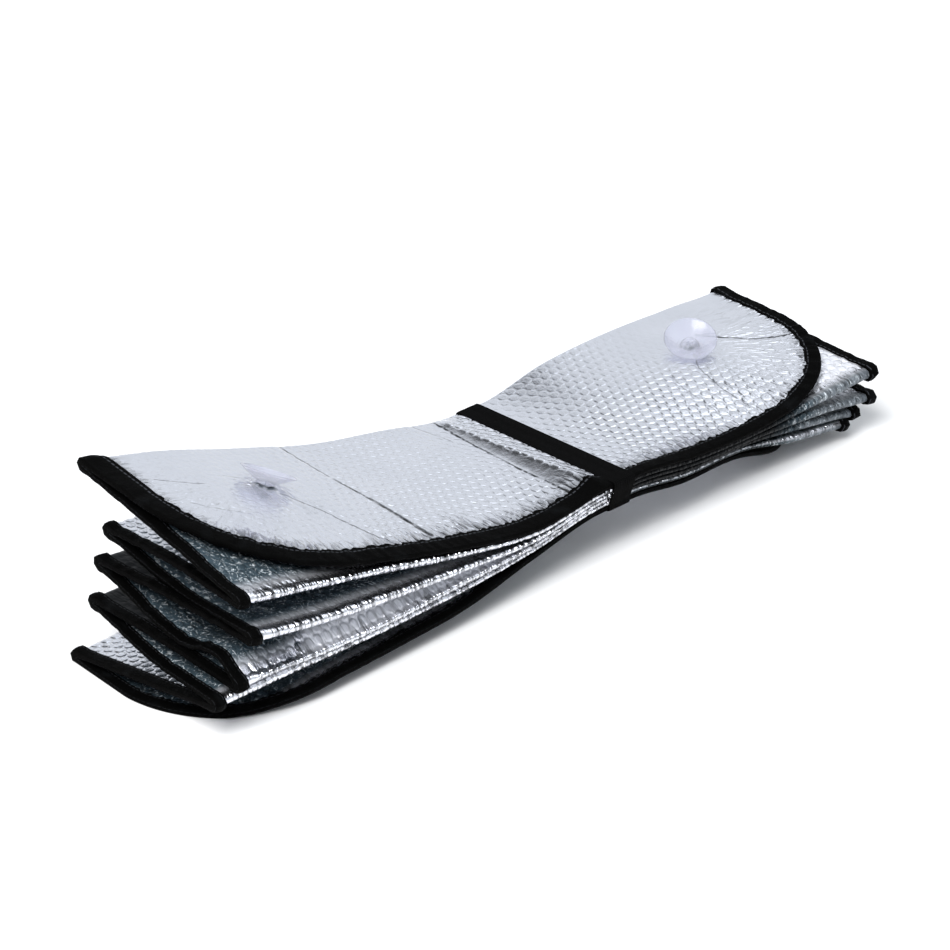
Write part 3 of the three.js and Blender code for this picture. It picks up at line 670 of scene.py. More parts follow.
# The bubbles' domes again as bump, on the same lattice as the mesh, and the crinkles over them.
domes = []
for shift in (0.0, 0.5):
    cell = add_node(nodes, "ShaderNodeVectorMath", [(0, flat_uv)],
                    [(1, (PITCH * MM, PITCH * MM * ROW, 1))], operation="DIVIDE")
    moved = add_node(nodes, "ShaderNodeVectorMath", [(0, cell.outputs[0])],
                     [(1, (shift, shift, 0))], operation="ADD")
    part = add_node(nodes, "ShaderNodeVectorMath", [(0, moved.outputs[0])], operation="FRACTION")
    centred = add_node(nodes, "ShaderNodeVectorMath", [(0, part.outputs[0])],
                       [(1, (0.5, 0.5, 0))], operation="SUBTRACT")
    scaled = add_node(nodes, "ShaderNodeVectorMath", [(0, centred.outputs[0])],
                      [(1, (1, ROW, 0))], operation="MULTIPLY")
    domes.append(add_node(nodes, "ShaderNodeVectorMath", [(0, scaled.outputs[0])],
                          operation="LENGTH").outputs[1])
nearest = add_node(nodes, "ShaderNodeMath", [(0, domes[0]), (1, domes[1])], operation="MINIMUM")
dome = add_node(nodes, "ShaderNodeMapRange", [("Value", nearest.outputs[0])],
                interpolation_type="SMOOTHSTEP", From_Min=0.30, From_Max=0.5, To_Min=1.0, To_Max=0.0)
puffed = add_node(nodes, "ShaderNodeMath", [(0, dome.outputs[0]), (1, plump_here)],
                  operation="MULTIPLY")
relief = add_node(nodes, "ShaderNodeBump", [("Height", puffed.outputs[0])],
                  Strength=0.6, Distance=0.9 * MM)
relief = add_node(nodes, "ShaderNodeBump", [("Height", crinkle.outputs["Fac"]),
                                            ("Normal", relief.outputs[0])],
                  Strength=0.45, Distance=0.7 * MM)
pulled = add_node(nodes, "ShaderNodeMath", [(0, pucker.outputs["Fac"]), (1, gathers_here)],
                  operation="MULTIPLY")
relief = add_node(nodes, "ShaderNodeBump", [("Height", pulled.outputs[0]),
                                            ("Normal", relief.outputs[0])],
                  Strength=1.0, Distance=12 * MM)
link(relief.outputs[0], film.inputs["Normal"])


def make_piece(name, points, faces, node, material, uv=None, lay=None):
    """A smooth-shaded mesh from points in mm and faces of one size, riding on the root.

    Points go to the frame by mm times 0.001 plus the origin, and none goes below the floor.
    """
    mesh = bpy.data.meshes.new(name)
    points = np.asarray(points, float).reshape(-1, 3).copy()
    points[:, 2] = np.maximum(points[:, 2], 0.05)
    points = points * MM + ORIGIN
    faces = np.asarray(faces, np.int32)
    size = faces.shape[1]
    mesh.vertices.add(len(points))
    mesh.vertices.foreach_set("co", points.astype(np.float32).ravel())
    mesh.loops.add(faces.size)
    mesh.loops.foreach_set("vertex_index", faces.ravel())
    mesh.polygons.add(len(faces))
    mesh.polygons.foreach_set("loop_start", np.arange(0, faces.size, size, dtype=np.int32))
    for label, each in (uv or {}).items():
        corners = np.asarray(each, float).reshape(-1, 2)[faces.ravel()] * MM
        layer = mesh.uv_layers.new(name=label)
        layer.data.foreach_set("uv", corners.astype(np.float32).ravel())
    if lay is not None:
        vectors = mesh.attributes.new("lay", "FLOAT_VECTOR", "POINT").data
        vectors.foreach_set("vector", np.asarray(lay, np.float32).ravel())
    mesh.update(calc_edges=True)
    mesh.validate()
    mesh.polygons.foreach_set("use_smooth", np.ones(len(faces), dtype=bool))
    mesh.materials.append(material)
    piece = bpy.data.objects.new(name, mesh)
    bpy.context.scene.collection.objects.link(piece)
    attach(piece, "root")
    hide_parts(node)
    return piece


def ring_faces(rings, size, closed):
    """Quads between rings of equal size, and the quads that close an open chain's two ends."""
    r = np.arange(rings if closed else rings - 1)[:, None]
    k = np.arange(size)[None, :]
    a, b = r * size + k, r * size + (k + 1) % size
    n = (r + 1) % rings * size
    quads = np.stack([a, n + k, n + (k + 1) % size, b], -1).reshape(-1, 4)
    if closed:
        return quads
    k = np.arange(size // 2 - 1)
    near = np.stack([k, k + 1, size - 2 - k, size - 1 - k], -1)
    return np.concatenate([quads, near, (near + (rings - 1) * size)[:, ::-1]])


def outward(points, faces):
    """The faces, turned over if the volume they enclose is negative: the sum of a . (b x c)."""
    p = np.asarray(points, float).reshape(-1, 3)
    a, b, c, d = (p[faces[:, k]] for k in range(4))
    volume = (np.cross(b - a, c - a) * (a + b + c)).sum()
    volume += (np.cross(c - a, d - a) * (a + c + d)).sum()
    return faces if volume > 0 else faces[:, ::-1]


def both_faces(*parts):
    """Values over one face of the film, and the same in turn for its other face."""
    face = np.stack(np.broadcast_arrays(*parts), -1)
    return np.concatenate([face, face[:, ::-1]], 1)


# The gathers' shading reaches 5 mm past the tape, and 4 to 10 mm beside the near tape's left
# half. Wrinkles at the ends and round the left cup are faint beside it.
SHADE_REACH, LONG_REACH, LONG_MORE, LONG_SHADE = 5.0, 4.0, 6.0, 0.95
RIGHT_WRINKLES, LEFT_WRINKLES, CUP_WRINKLES, CUP_WRINKLE_REACH = 0.08, 0.04, 0.09, 24
CRUMPLE, FOLD_CRUMPLE, FOLD_CRUMPLE_REACH, BELLY_CRUMPLE = 0.12, 0.5, 7, 0.06


def foil_gathers(s, v, cut, depth, along, tape_here):
    """How strongly an outer panel is gathered: e to the minus distance from the tape.

    On the top panel, wrinkles at its ends and round the left cup are added.
    """
    past_tape = np.clip(depth - tape_here, 0, None)
    uneven = 0.35 + 0.65 * ease(0.5 + along_noise(along / 38, 21))
    gather = hump(past_tape, SHADE_REACH, 1) * uneven
    if cut is None:
        return gather
    left_half = ease((s + 195) / 50)
    more = ease(0.5 + along_noise(s / 22, 22)) * left_half * ease((-30 - s) / 60)
    from_near_tape = np.clip(v - cut - tape_here, 0, None)
    beside = LONG_SHADE * hump(from_near_tape, LONG_REACH + LONG_MORE * more, 1)
    beside = beside * left_half * ease((40 - s) / 20) * (v < 40)
    gather = np.maximum(gather, beside) * (1 - 0.75 * ease((s - 120) / 60))
    ends = RIGHT_WRINKLES * ease((s - 130) / 60) + LEFT_WRINKLES * ease((-100 - s) / 60)
    ends = ends * ease((PANEL - v) / 40) * ease((80 - depth) / 45)
    from_cup = np.hypot(s - LEFT_HOLE, v - CUP_EDGE + 14)
    return np.maximum(gather, ends + CUP_WRINKLES * hump(from_cup, CUP_WRINKLE_REACH, 4))


def fold_crumples(s, v, clear_of_tape):
    """How crumpled the inner film is: most over the near folds, and a little over the belly."""
    uneven = 0.5 + 0.5 * ease(0.5 + noise(s / 16, v / 30, 23))
    crumpled = CRUMPLE + FOLD_CRUMPLE * hump(from_near_fold(v), FOLD_CRUMPLE_REACH) * uneven
    swelling = BELLY_CRUMPLE * between(v, 5.4, 6)
    return (crumpled + swelling) * ease((HALF - np.abs(s) - 8) / 12) * clear_of_tape


# The foil is drawn in six runs across the sheet, each a closed skin of one face of the film out
# and the other back: first and last line, points across each panel, and points along. Bubbles
# stand out from both faces and lie flat under the tape. The points crowd towards the ends.
RUNS = {
    "foil_top_panel": (0, 1, 112, 430),
    "foil_panels_2_3": (1, 3, 64, 256),
    "foil_panels_4_5": (3, 5, 64, 256),
    "foil_panels_6_7": (5, 7, 64, 256),
    "foil_panels_8_9": (7, 9, 64, 256),
    "foil_bottom_panel": (9, 10, 74, 310),
}
CROWDING = math.pi / 2 * 0.35
FOLD_POINTS = 9
OUTER_DOME, INNER_DOME, WELD_DIP = 0.75, 0.45, 0.25
for name, (first, last, rows, columns) in RUNS.items():
    s = HALF * np.sin(np.linspace(-1, 1, columns) * CROWDING) / math.sin(CROWDING)
    s[0], s[-1] = -HALF, HALF
    sec = section(s)
    v_list = []
    for panel in range(first, last):
        low, high = panel * PANEL, (panel + 1) * PANEL
        if panel > first:
            v_list += list(low + FOLD_HALF * np.linspace(-1, 1, FOLD_POINTS)[1:-1])
            low += FOLD_HALF
        if panel < last - 1:
            high -= FOLD_HALF
        v_list += list(np.linspace(low, high, rows))
    v = np.array(v_list)[None, :].repeat(len(s), 0)
    cut = inset(s)[:, None]
    if first == 0:
        v = PANEL - (PANEL - v) * (PANEL - cut) / PANEL
    if last == PANELS:
        low = (PANELS - 1) * PANEL
        v = low + (v - low) * (PANEL - cut) / PANEL
    ss = s[:, None].repeat(v.shape[1], 1)
    index = np.arange(len(s))[:, None].repeat(v.shape[1], 1)
    swollen = sec["swollen"][:, None]
    depth, along = from_edge(ss, v)
    plump = fullness(ss, v)
    tape_here = TAPE_WIDTH * tape_share(ss, v)
    clear_of_tape = np.clip((depth - tape_here + 2) / 3, 0, 1)
    pillow = bubbles(ss, v) * clear_of_tape * plump * (0.3 + 0.7 * swollen)
    half_thick = sec["thickness"][:, None] / 2 - WELD_DIP * swollen
    wave = waves(ss, v, swollen)
    top = folded(sec, index, v, wave + half_thick + OUTER_DOME * pillow)
    under = folded(sec, index, v, wave - half_thick - INNER_DOME * pillow)
    rings = np.concatenate([top, under[:, ::-1]], 1)
    faces = outward(rings, ring_faces(len(s), rings.shape[1], False))
    if 0 < first < PANELS - 1:
        gather = fold_crumples(ss, v, clear_of_tape)
        along, depth = ss, v
    else:
        gather = foil_gathers(ss, v, cut if first == 0 else None, depth, along, tape_here)
    uv = {"flat": both_faces(ss, v), "edge": both_faces(along, depth)}
    lay_values = both_faces(plump * clear_of_tape, painted_shade(ss, v), gather)
    piece = make_piece(name, rings, faces, "foil_sheet", foil_film, uv, lay_values)

# ------------------------------------------------------------------------------------------
# BINDING TAPE. Black woven polyester tape, folded in half over the foil's edge and sewn through
# with one row of stitches, all the way round the sheet. It turns with the foil at every fold.
# ------------------------------------------------------------------------------------------
# The way round the outline, in clockwise stretches, each with the direction into the sheet.
ALONG_STEP, ACROSS_STEP, CORNER_STEPS = 1.25, 2.2, 100
centre = HALF - CORNER
steps = np.arange(-centre, centre, ALONG_STEP)
turn = np.linspace(0, math.pi / 2, CORNER_STEPS)
sine, cosine = np.sin(turn), np.cos(turn)
down = np.arange(CORNER, FLAT_WIDTH - CORNER, ACROSS_STEP)[1:]


def stretch(s, v, to_s, to_v):
    """A stretch of the outline: places on the flat sheet, and the direction into the sheet."""
    parts = np.broadcast_arrays(s, v, to_s, to_v)
    return np.stack([np.asarray(each, float) for each in parts], -1)


walk = np.concatenate([
    stretch(steps, 0, 0, 1),
    stretch(centre + CORNER * sine, CORNER - CORNER * cosine, -sine, cosine),
    stretch(HALF, down, -1, 0),
    stretch(centre + CORNER * cosine, FLAT_WIDTH - CORNER + CORNER * sine, -cosine, -sine),
    stretch(-steps[1:], FLAT_WIDTH, 0, -1),
    stretch(-centre - CORNER * sine, FLAT_WIDTH - CORNER + CORNER * cosine, sine, -cosine),
    stretch(-HALF, FLAT_WIDTH - down, 1, 0),
    stretch(-centre - CORNER * cosine, CORNER - CORNER * sine, cosine, sine)[:-1],
])
# The band's profile: distance in from the edge, and height off the film. The stitches pull it
# down 11 mm in, and its raw edge stands up a little.
OUT, IN = TAPE_OUTER + 0.12, TAPE_INNER
SHOULDER = (-0.4, OUT * 0.72 + 0.2)
leg = [(14.0, IN), (14.15, (IN + OUT) / 2), (13.9, OUT), (12.6, OUT + 0.05), (11.6, OUT - 0.08),
       (10.6, OUT + 0.08), (7, OUT + 0.14), (3.5, OUT + 0.1), (1, OUT)]
profile = leg + [SHOULDER, (-0.85, 0.0)] + [(a, -b) for a, b in [SHOULDER] + leg[::-1]]
profile += [(-0.2, -IN), (-0.3, 0.0), (-0.2, IN)]
# At the folds' tips the tape is doubled up, and stands off the film by up to 2.8 times as much.
TIP_BULK = 1.8


def beside_edge(at, inward, offset):
    """The band's points at each place of the walk, and their places on the flat sheet.

    A point is the folded sheet's, moved inward from the edge by its distance times the tape's
    share, and off the film's middle by half the film and the profile's height.
    """
    round_way = np.sign(at[:, 0]) * np.arange(len(at))
    ragged = 1.3 * along_noise(round_way / 1.7, 41) + 0.5 * along_noise(round_way / 7.0, 42)
    ragged = ragged * (np.abs(at[:, 2]) < 0.999) * (inward > 12)
    inward = np.where(inward > 0, inward * tape_share(at[:, 0], at[:, 1]), inward) + ragged
    s = np.clip(at[:, 0] + at[:, 2] * inward, -HALF, HALF)
    v = np.clip(at[:, 1] + at[:, 3] * inward, 0, FLAT_WIDTH)
    from_line = np.abs(v - np.round(v / PANEL) * PANEL)
    at_end = ease((np.abs(s) - HALF + 22) / 12) * ((v > 60) & (v < FLAT_WIDTH - 60))
    bulk = np.where(np.abs(offset) > 0.5, TIP_BULK, 0.0) * hump(from_line, 9) * at_end
    offset = offset * (1 + bulk)
    sec = section(s)
    index = np.arange(len(s))
    middle = waves(s, v, sec["swollen"])
    point = folded(sec, index, v, middle + np.sign(offset) * sec["thickness"] / 2 + offset)
    # Past the sheet's edge the tape goes straight on, along the panel.
    over = np.minimum(inward, 0)
    beyond = at[:, 3] * over
    panel = np.clip((v // PANEL).astype(int), 0, PANELS - 1)
    point[:, 0] += at[:, 2] * over
    point[:, 1] += sec["uy"][panel, index] * beyond
    point[:, 2] += sec["uz"][panel, index] * beyond
    return point


# Woven polyester grosgrain: dyed black yarn on a narrow loom. To the eye it is a matt black with
# a fine cross-hatch, a little grey dust in patches, and one dashed row of real stitches whose grey
# is painted sheen of the shinier thread. The yarns are drawn 0.75 and 0.95 mm apart and the
# thread 1 mm thick, coarser than the real 0.4 mm.
BLACK_YARN, DUSTY_YARN, THREAD_AND_SHEEN = "#010101", "#121416", "#3a3c40"
STITCH_ROW, STITCH_PITCH = 11.2, 4.0
BACK_SHIFT = 20


def bands(size):
    """A wave texture's scale for bands this many mm apart: 2 pi over 20 times it in metres."""
    return 2 * math.pi / (20 * size * MM)


tape_weave, nodes, tape = new_material("woven_polyester_tape")
link = tape_weave.node_tree.links.new
flat_uv = add_node(nodes, "ShaderNodeUVMap", uv_map="flat").outputs[0]
warp = add_node(nodes, "ShaderNodeTexWave", [("Vector", flat_uv)], bands_direction="X",
                Scale=bands(0.748), Distortion=0.6)
weft = add_node(nodes, "ShaderNodeTexWave", [("Vector", flat_uv)], bands_direction="Y",
                Scale=bands(0.952), Distortion=0.6)
weave = add_node(nodes, "ShaderNodeMath", [(0, warp.outputs["Fac"]), (1, weft.outputs["Fac"])],
                 operation="MULTIPLY")
fuzz = add_node(nodes, "ShaderNodeTexNoise", [("Vector", flat_uv)], Scale=grain(3.846), Detail=4.0)
worn = add_node(nodes, "ShaderNodeTexNoise", [("Vector", flat_uv)], Scale=grain(22.22), Detail=3.0)
worn = add_node(nodes, "ShaderNodeMapRange", [("Value", worn.outputs["Fac"])],
                From_Min=0.55, From_Max=0.75, To_Min=0.0, To_Max=1.0)
patchy = add_node(nodes, "ShaderNodeMath", [(0, fuzz.outputs["Fac"]), (1, worn.outputs[0])],
                  operation="MULTIPLY")
dust = add_node(nodes, "ShaderNodeMix", [(0, patchy.outputs[0])],
                [(6, linear(BLACK_YARN)), (7, linear(DUSTY_YARN))], data_type="RGBA")
# Stitches: dashes 4 mm apart on a row 11.2 mm in from the edge, on both faces, in painted sheen.
parts = add_node(nodes, "ShaderNodeSeparateXYZ", [(0, flat_uv)])
rows = add_node(nodes, "ShaderNodeMath", [(0, parts.outputs[1])],
                [(1, BACK_SHIFT * MM), (2, 0.0)], operation="WRAP")
off_row = add_node(nodes, "ShaderNodeMath", [(0, rows.outputs[0])], [(1, STITCH_ROW * MM)],
                   operation="SUBTRACT")
off_row = add_node(nodes, "ShaderNodeMath", [(0, off_row.outputs[0])], operation="ABSOLUTE")
thread = add_node(nodes, "ShaderNodeMapRange", [("Value", off_row.outputs[0])],
                  From_Min=0.35 * MM, From_Max=0.7 * MM, To_Min=1.0, To_Max=0.0)
place_in = add_node(nodes, "ShaderNodeMath", [(0, parts.outputs[0])],
                    [(1, STITCH_PITCH / 2 * MM)], operation="PINGPONG")
dash = add_node(nodes, "ShaderNodeMapRange", [("Value", place_in.outputs[0])],
                From_Min=0.5 * MM, From_Max=0.8 * MM, To_Min=0.0, To_Max=1.0)
stitch = add_node(nodes, "ShaderNodeMath", [(0, thread.outputs[0]), (1, dash.outputs[0])],
                  operation="MULTIPLY")
sewn = add_node(nodes, "ShaderNodeMix", [(0, stitch.outputs[0]), (6, dust.outputs[2])],
                [(7, linear(THREAD_AND_SHEEN))], data_type="RGBA")
link(sewn.outputs[2], tape.inputs["Base Color"])
tape.inputs["Roughness"].default_value = 0.8
tape.inputs["Specular IOR Level"].default_value = 0.04
crumple = add_node(nodes, "ShaderNodeTexNoise", [("Vector", flat_uv)], Scale=grain(9.09), Detail=3.0)
relief = add_node(nodes, "ShaderNodeBump", [("Height", crumple.outputs["Fac"])],
                  Strength=0.7, Distance=3 * MM)
relief = add_node(nodes, "ShaderNodeBump", [("Height", weave.outputs[0]),
                                            ("Normal", relief.outputs[0])],
                  Strength=0.6, Distance=0.3 * MM)
relief = add_node(nodes, "ShaderNodeBump", [("Height", stitch.outputs[0]),
                                            ("Normal", relief.outputs[0])],
                  Strength=0.8, Distance=0.5 * MM)
link(relief.outputs[0], tape.inputs["Normal"])

rings = np.stack([beside_edge(walk, a, b) for a, b in profile], 1)
travelled = np.cumsum(np.linalg.norm(np.diff(walk[:, :2], axis=0), axis=1))
travelled = np.concatenate([[0], travelled])
in_band = np.array([a + BACK_SHIFT * (b < 0) for a, b in profile])
round_uv = np.stack(np.broadcast_arrays(travelled[:, None], in_band[None, :]), -1)
make_piece("binding_tape", rings, outward(rings, ring_faces(len(walk), len(profile), True)),
           "edge_binding", tape_weave, {"flat": round_uv})

# ------------------------------------------------------------------------------------------
# STRAP. A flat band of black elastic round the middle of the bundle, knitted with rubber cores.
# Its two ends are sewn over each other below, drawn as one plain closed loop, and its pull
# presses the ten layers together.
# ------------------------------------------------------------------------------------------
STRAP_WIDTH, COVERED, LANES = 22.0, 2.6, 23
RIB_PITCH, RIB_HEIGHT, EDGE_LIFT, STRAP_BACK = 2.0, 0.12, 0.75, 0.1
BEND_RADIUS, BEND_STEPS, LOOP_STEP = 2.2, 7, 1.6
room = PINCHED_THICKNESS / 2 + STRAP_CLEARANCE
near_room = TAPE_OUTER + STRAP_CLEARANCE
edge_room = TAPE_OUTER + room
bottom_y, top_y = ACROSS_STRAP[PANELS] - near_room, ACROSS_STRAP[0] - near_room
far_y = ACROSS_STRAP[1] + room
bottom_z, top_z = strap_height(PANELS), strap_height(0)
corners = np.array([
    (bottom_y, bottom_z - edge_room), (far_y, FLOOR_HEIGHT - room),
    (far_y, FLOOR_HEIGHT + LAYER_PITCH * (PANELS - 1) + room), (top_y, top_z + edge_room),
    (top_y, top_z - edge_room), (bottom_y, bottom_z + edge_room),
])
# The loop goes straight from corner to corner, with each corner rounded by a quadratic curve.
loop = []
f = np.linspace(0, 1, BEND_STEPS)[:, None]
for k, corner in enumerate(corners):
    before, after = corners[k - 1] - corner, corners[(k + 1) % len(corners)] - corner
    lengths = np.linalg.norm(before), np.linalg.norm(after)
    bend = min(BEND_RADIUS, lengths[0] * 0.4, lengths[1] * 0.4)
    a, b = corner + before / lengths[0] * bend, corner + after / lengths[1] * bend
    loop.append((1 - f) ** 2 * a + 2 * f * (1 - f) * corner + f**2 * b)
loop = np.concatenate(loop)
dense = []
for a, b in zip(loop, np.roll(loop, -1, 0)):
    count = max(1, int(np.linalg.norm(b - a) / LOOP_STEP))
    dense.append(a + (b - a) * (np.arange(count) / count)[:, None])
loop = np.concatenate(dense)
tangent = np.roll(loop, -1, 0) - np.roll(loop, 1, 0)
tangent /= np.linalg.norm(tangent, axis=1)[:, None]
normal = np.stack([tangent[:, 1], -tangent[:, 0]], -1)
travelled = np.cumsum(np.linalg.norm(np.diff(loop, axis=0), axis=1))
travelled = np.concatenate([[0], travelled])
# Across the band: a cosine rib every 2 mm on its face, with its left edge under slack foil.
lanes = np.linspace(-STRAP_WIDTH / 2 + COVERED, STRAP_WIDTH / 2, LANES)
lift = STRAP_THICKNESS + RIB_HEIGHT * np.cos(lanes * math.pi * 2 / RIB_PITCH)
lift[[0, -1]] = EDGE_LIFT
across = np.concatenate([lanes, lanes[::-1]])
height = np.concatenate([lift, np.full(LANES, STRAP_BACK)])
rings = np.stack(np.broadcast_arrays(
    across, loop[:, :1] + normal[:, :1] * height, loop[:, 1:] + normal[:, 1:] * height), -1)
uv = np.stack(np.broadcast_arrays(across, travelled[:, None]), -1)

# Knitted elastic: polyester yarn round rubber cores, dyed black. To the eye it is a dull black
# with ribs along the band. The ribs are drawn 1.65 mm apart and the stitches 0.83 mm, coarser
# than the real 1 mm and 0.5 mm.
ELASTIC_LOW, ELASTIC_HIGH = "#010101", "#070708"
elastic_knit, nodes, elastic = new_material("knitted_black_elastic")
link = elastic_knit.node_tree.links.new
flat_uv = add_node(nodes, "ShaderNodeUVMap", uv_map="flat").outputs[0]
ribs = add_node(nodes, "ShaderNodeTexWave", [("Vector", flat_uv)], bands_direction="X",
                Scale=bands(1.6535), Distortion=0.3)
picks = add_node(nodes, "ShaderNodeTexWave", [("Vector", flat_uv)], bands_direction="Y",
                 Scale=bands(0.8267), Distortion=0.8)
knit = add_node(nodes, "ShaderNodeMath", [(0, ribs.outputs["Fac"]), (1, picks.outputs["Fac"])],
                operation="ADD")
shade = add_node(nodes, "ShaderNodeMix", [(0, ribs.outputs["Fac"])],
                 [(6, linear(ELASTIC_LOW)), (7, linear(ELASTIC_HIGH))], data_type="RGBA")
link(shade.outputs[2], elastic.inputs["Base Color"])
elastic.inputs["Roughness"].default_value = 0.88
elastic.inputs["Specular IOR Level"].default_value = 0.05
relief = add_node(nodes, "ShaderNodeBump", [("Height", knit.outputs[0])],
                  Strength=0.7, Distance=0.4 * MM)
link(relief.outputs[0], elastic.inputs["Normal"])

make_piece("strap_band", rings, outward(rings, ring_faces(len(loop), len(across), True)),
           "elastic_strap", elastic_knit, {"flat": uv})

# ------------------------------------------------------------------------------------------
# SUCTION CUPS. Four cups of clear soft PVC, one near each corner of the sheet. Each is moulded
# in one piece, and its knob is pushed through a punched hole so that its neck grips the foil.
# ------------------------------------------------------------------------------------------
# Clear plasticised PVC, injection moulded with a polished face. To the eye it is see-through with
# a faint violet tint, bright rims and a slight haze from handling, in clouds of 8 mm. Its IOR is
# lowered from PVC's 1.5 because the thin cup bends what lies behind it less than solid glass.
CLEAR_VIOLET = "#e4e5f2"
cup_pvc, nodes, cup = new_material("clear_soft_pvc")
cup.inputs["Base Color"].default_value = linear(CLEAR_VIOLET)
cup.inputs["Transmission Weight"].default_value = 0.8
cup.inputs["IOR"].default_value = 1.35
cup.inputs["Alpha"].default_value = 0.72
on_cup = add_node(nodes, "ShaderNodeTexCoord").outputs["Object"]
haze = add_node(nodes, "ShaderNodeTexNoise", [("Vector", on_cup)], Scale=grain(8.333), Detail=3.0)
haze = add_node(nodes, "ShaderNodeMapRange", [("Value", haze.outputs["Fac"])],
                To_Min=0.08, To_Max=0.26)
cup_pvc.node_tree.links.new(haze.outputs[0], cup.inputs["Roughness"])

# The turned profile, as radius and height over the foil: knob and neck, the dish's back, its
# lip, and the hollow mouth. It is lifted by half the film and the neck's play.
LIFT, SEGMENTS, DISH_STEPS = 1.4, 64, 22
share = np.linspace(0, 1, DISH_STEPS)
dish = np.stack([6.5 + 12.5 * share, 2.0 + 6.5 * share**1.3], -1)
lip = [(19.0, 8.75), (18.75, 8.95), (18.4, 8.75)]
share = np.linspace(1, 0.02, DISH_STEPS)
hollow = np.stack([18.2 * share, 3.6 + 4.9 * share**2], -1)
stem = [(0.02, -3.9), (3.4, -3.9), (4.6, -3.6), (5.4, -2.9), (5.4, -2.3), (4.6, -1.95),
        (3.2, -1.9), (3.2, 0.0), (3.6, 0.1), (6.0, 0.1), (6.4, 0.5), (6.5, 1.6)]
radius, height = np.concatenate([stem, dish, lip, hollow]).T
height = height + LIFT
spin = np.arange(SEGMENTS)[:, None] * 2 * math.pi / SEGMENTS
# The top cups have slumped over: how far each leans, along one slanting direction.
LEAN = {"top_left": 0.28, "top_right": -0.42}
LEAN_TOWARDS = np.array([0.68, 0.73, 0])
PROBE = 3
for name, panel, at in (
    ("top_left", 0, LEFT_HOLE), ("top_right", 0, RIGHT_HOLE),
    ("bottom_left", 9, LEFT_HOLE), ("bottom_right", 9, RIGHT_HOLE),
):
    v = CUP_EDGE if panel == 0 else FLAT_WIDTH - CUP_EDGE
    nearby = section(np.array([at, at - PROBE, at + PROBE]))
    here, west, east = folded(nearby, np.arange(3), np.full(3, v), np.zeros(3))
    low, high = folded(nearby, np.zeros(2, int), np.array([v - PROBE, v + PROBE]), np.zeros(2))
    facing = np.cross(east - west, high - low)
    facing /= np.linalg.norm(facing)
    facing = facing + LEAN_TOWARDS * LEAN.get(name, 0)
    facing /= np.linalg.norm(facing)
    side = np.cross(facing, [0, 1, 0])
    side /= np.linalg.norm(side)
    other = np.cross(facing, side)
    here = here + facing * waves(np.array([at]), np.array([v]), nearby["swollen"][:1])[0]
    outwards = np.cos(spin) * side + np.sin(spin) * other
    rings = here + height[:, None] * facing + radius[:, None] * outwards[:, None, :]
    make_piece("cup_" + name, rings, outward(rings, ring_faces(SEGMENTS, len(radius), True)),
               "suction_cup_" + name, cup_pvc)

# ------------------------------------------------------------------------------------------
# STUDIO. A pale floor, a long lens that looks down on the bundle's near side from its left, one
# large soft lamp, and three soft glows all round for the silver film to mirror.
# ------------------------------------------------------------------------------------------
FLOOR_REACH = 30
reach = [-FLOOR_REACH, FLOOR_REACH]
floor_mesh = bpy.data.meshes.new("floor")
floor_mesh.from_pydata([(x, y, 0) for y in reach for x in reach], [], [(0, 1, 3, 2)])
floor = bpy.data.objects.new("floor", floor_mesh)
bpy.context.scene.collection.objects.link(floor)
# Painted board: matt white paint, rolled on, with no grain to see.
board, nodes, paint = new_material("matt_white_board")
paint.inputs["Base Color"].default_value = (0.86, 0.86, 0.86, 1)
paint.inputs["Roughness"].default_value = 0.9
floor_mesh.materials.append(board)

AZIMUTH, ELEVATION, ROLL = (math.radians(each) for each in (-42.547, 27.816, 1.297))
LOOK_AT = np.array([-15.164 - 59.0, -13.274, 66.864])
DISTANCE, SENSOR, FOCAL_PIXELS, PICTURE_PIXELS = 2.5, 36, 3769, 950
back = np.array([math.sin(AZIMUTH) * math.cos(ELEVATION),
                 -math.cos(AZIMUTH) * math.cos(ELEVATION), math.sin(ELEVATION)])
right = np.array([math.cos(AZIMUTH), math.sin(AZIMUTH), 0])
up = np.cross(back, right)
right, up = (right * math.cos(ROLL) - up * math.sin(ROLL),
             right * math.sin(ROLL) + up * math.cos(ROLL))
place = LOOK_AT * MM + ORIGIN + back * DISTANCE


def facing_matrix(x_axis, y_axis, z_axis, at):
    """The matrix that turns something to three axes and puts it in its place."""
    rows = [[x_axis[i], y_axis[i], z_axis[i], at[i]] for i in range(3)]
    return Matrix(rows + [[0, 0, 0, 1]])


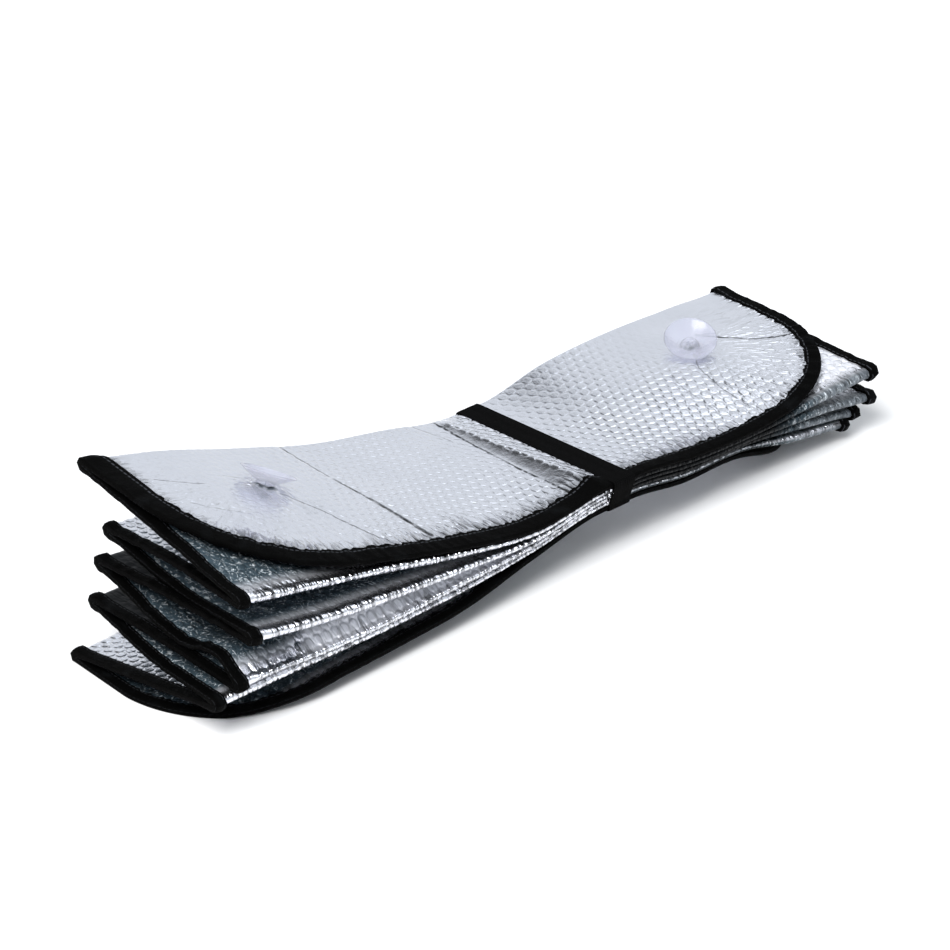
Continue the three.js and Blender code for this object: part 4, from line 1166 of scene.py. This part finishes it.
lens = bpy.data.cameras.new("camera")
lens.sensor_width = SENSOR
lens.lens = SENSOR * FOCAL_PIXELS / PICTURE_PIXELS
camera = bpy.data.objects.new("camera", lens)
bpy.context.scene.collection.objects.link(camera)
camera.matrix_world = facing_matrix(right, up, back, place)
bpy.context.scene.camera = camera

LAMP_SIZE, LAMP_POWER, LAMP_AT = 3.0, 420, np.array([-3.0, -1.2, 4.2])
key = bpy.data.lights.new("key", "AREA")
key.shape, key.size, key.energy = "SQUARE", LAMP_SIZE, LAMP_POWER
lamp = bpy.data.objects.new("key", key)
bpy.context.scene.collection.objects.link(lamp)
away = LAMP_AT / np.linalg.norm(LAMP_AT)
side = np.cross([0, 0, 1], away)
side /= np.linalg.norm(side)
lamp.matrix_world = facing_matrix(side, np.cross(away, side), away, LAMP_AT)

# Each glow: its direction, the cosines where it starts and is full, and its low and high strength.
GLOWS = (
    ((0.66, 0.70, 0.27), 0.74, 0.95, 0.05, 0.90),
    ((0.45, -0.05, 0.89), 0.84, 0.97, 0.0, 1.9),
    ((0.15, -0.85, 0.50), 0.58, 0.86, 0.0, 0.75),
)
COOL_WHITE = (0.91, 0.95, 1.0, 1)
studio = bpy.data.worlds.new("studio")
bpy.context.scene.world = studio
studio.use_nodes = True
nodes = studio.node_tree.nodes
direction = add_node(nodes, "ShaderNodeTexCoord").outputs["Generated"]
glow = None
for towards, start, full, low, high in GLOWS:
    along = add_node(nodes, "ShaderNodeVectorMath", [(0, direction)], [(1, towards)],
                     operation="DOT_PRODUCT")
    lobe = add_node(nodes, "ShaderNodeMapRange", [("Value", along.outputs["Value"])],
                    interpolation_type="SMOOTHSTEP", From_Min=start, From_Max=full,
                    To_Min=low, To_Max=high).outputs[0]
    glow = lobe if glow is None else add_node(
        nodes, "ShaderNodeMath", [(0, glow), (1, lobe)], operation="ADD").outputs[0]
studio.node_tree.links.new(glow, nodes["Background"].inputs[1])
nodes["Background"].inputs[0].default_value = COOL_WHITE
bpy.context.scene.view_settings.view_transform = "Standard"
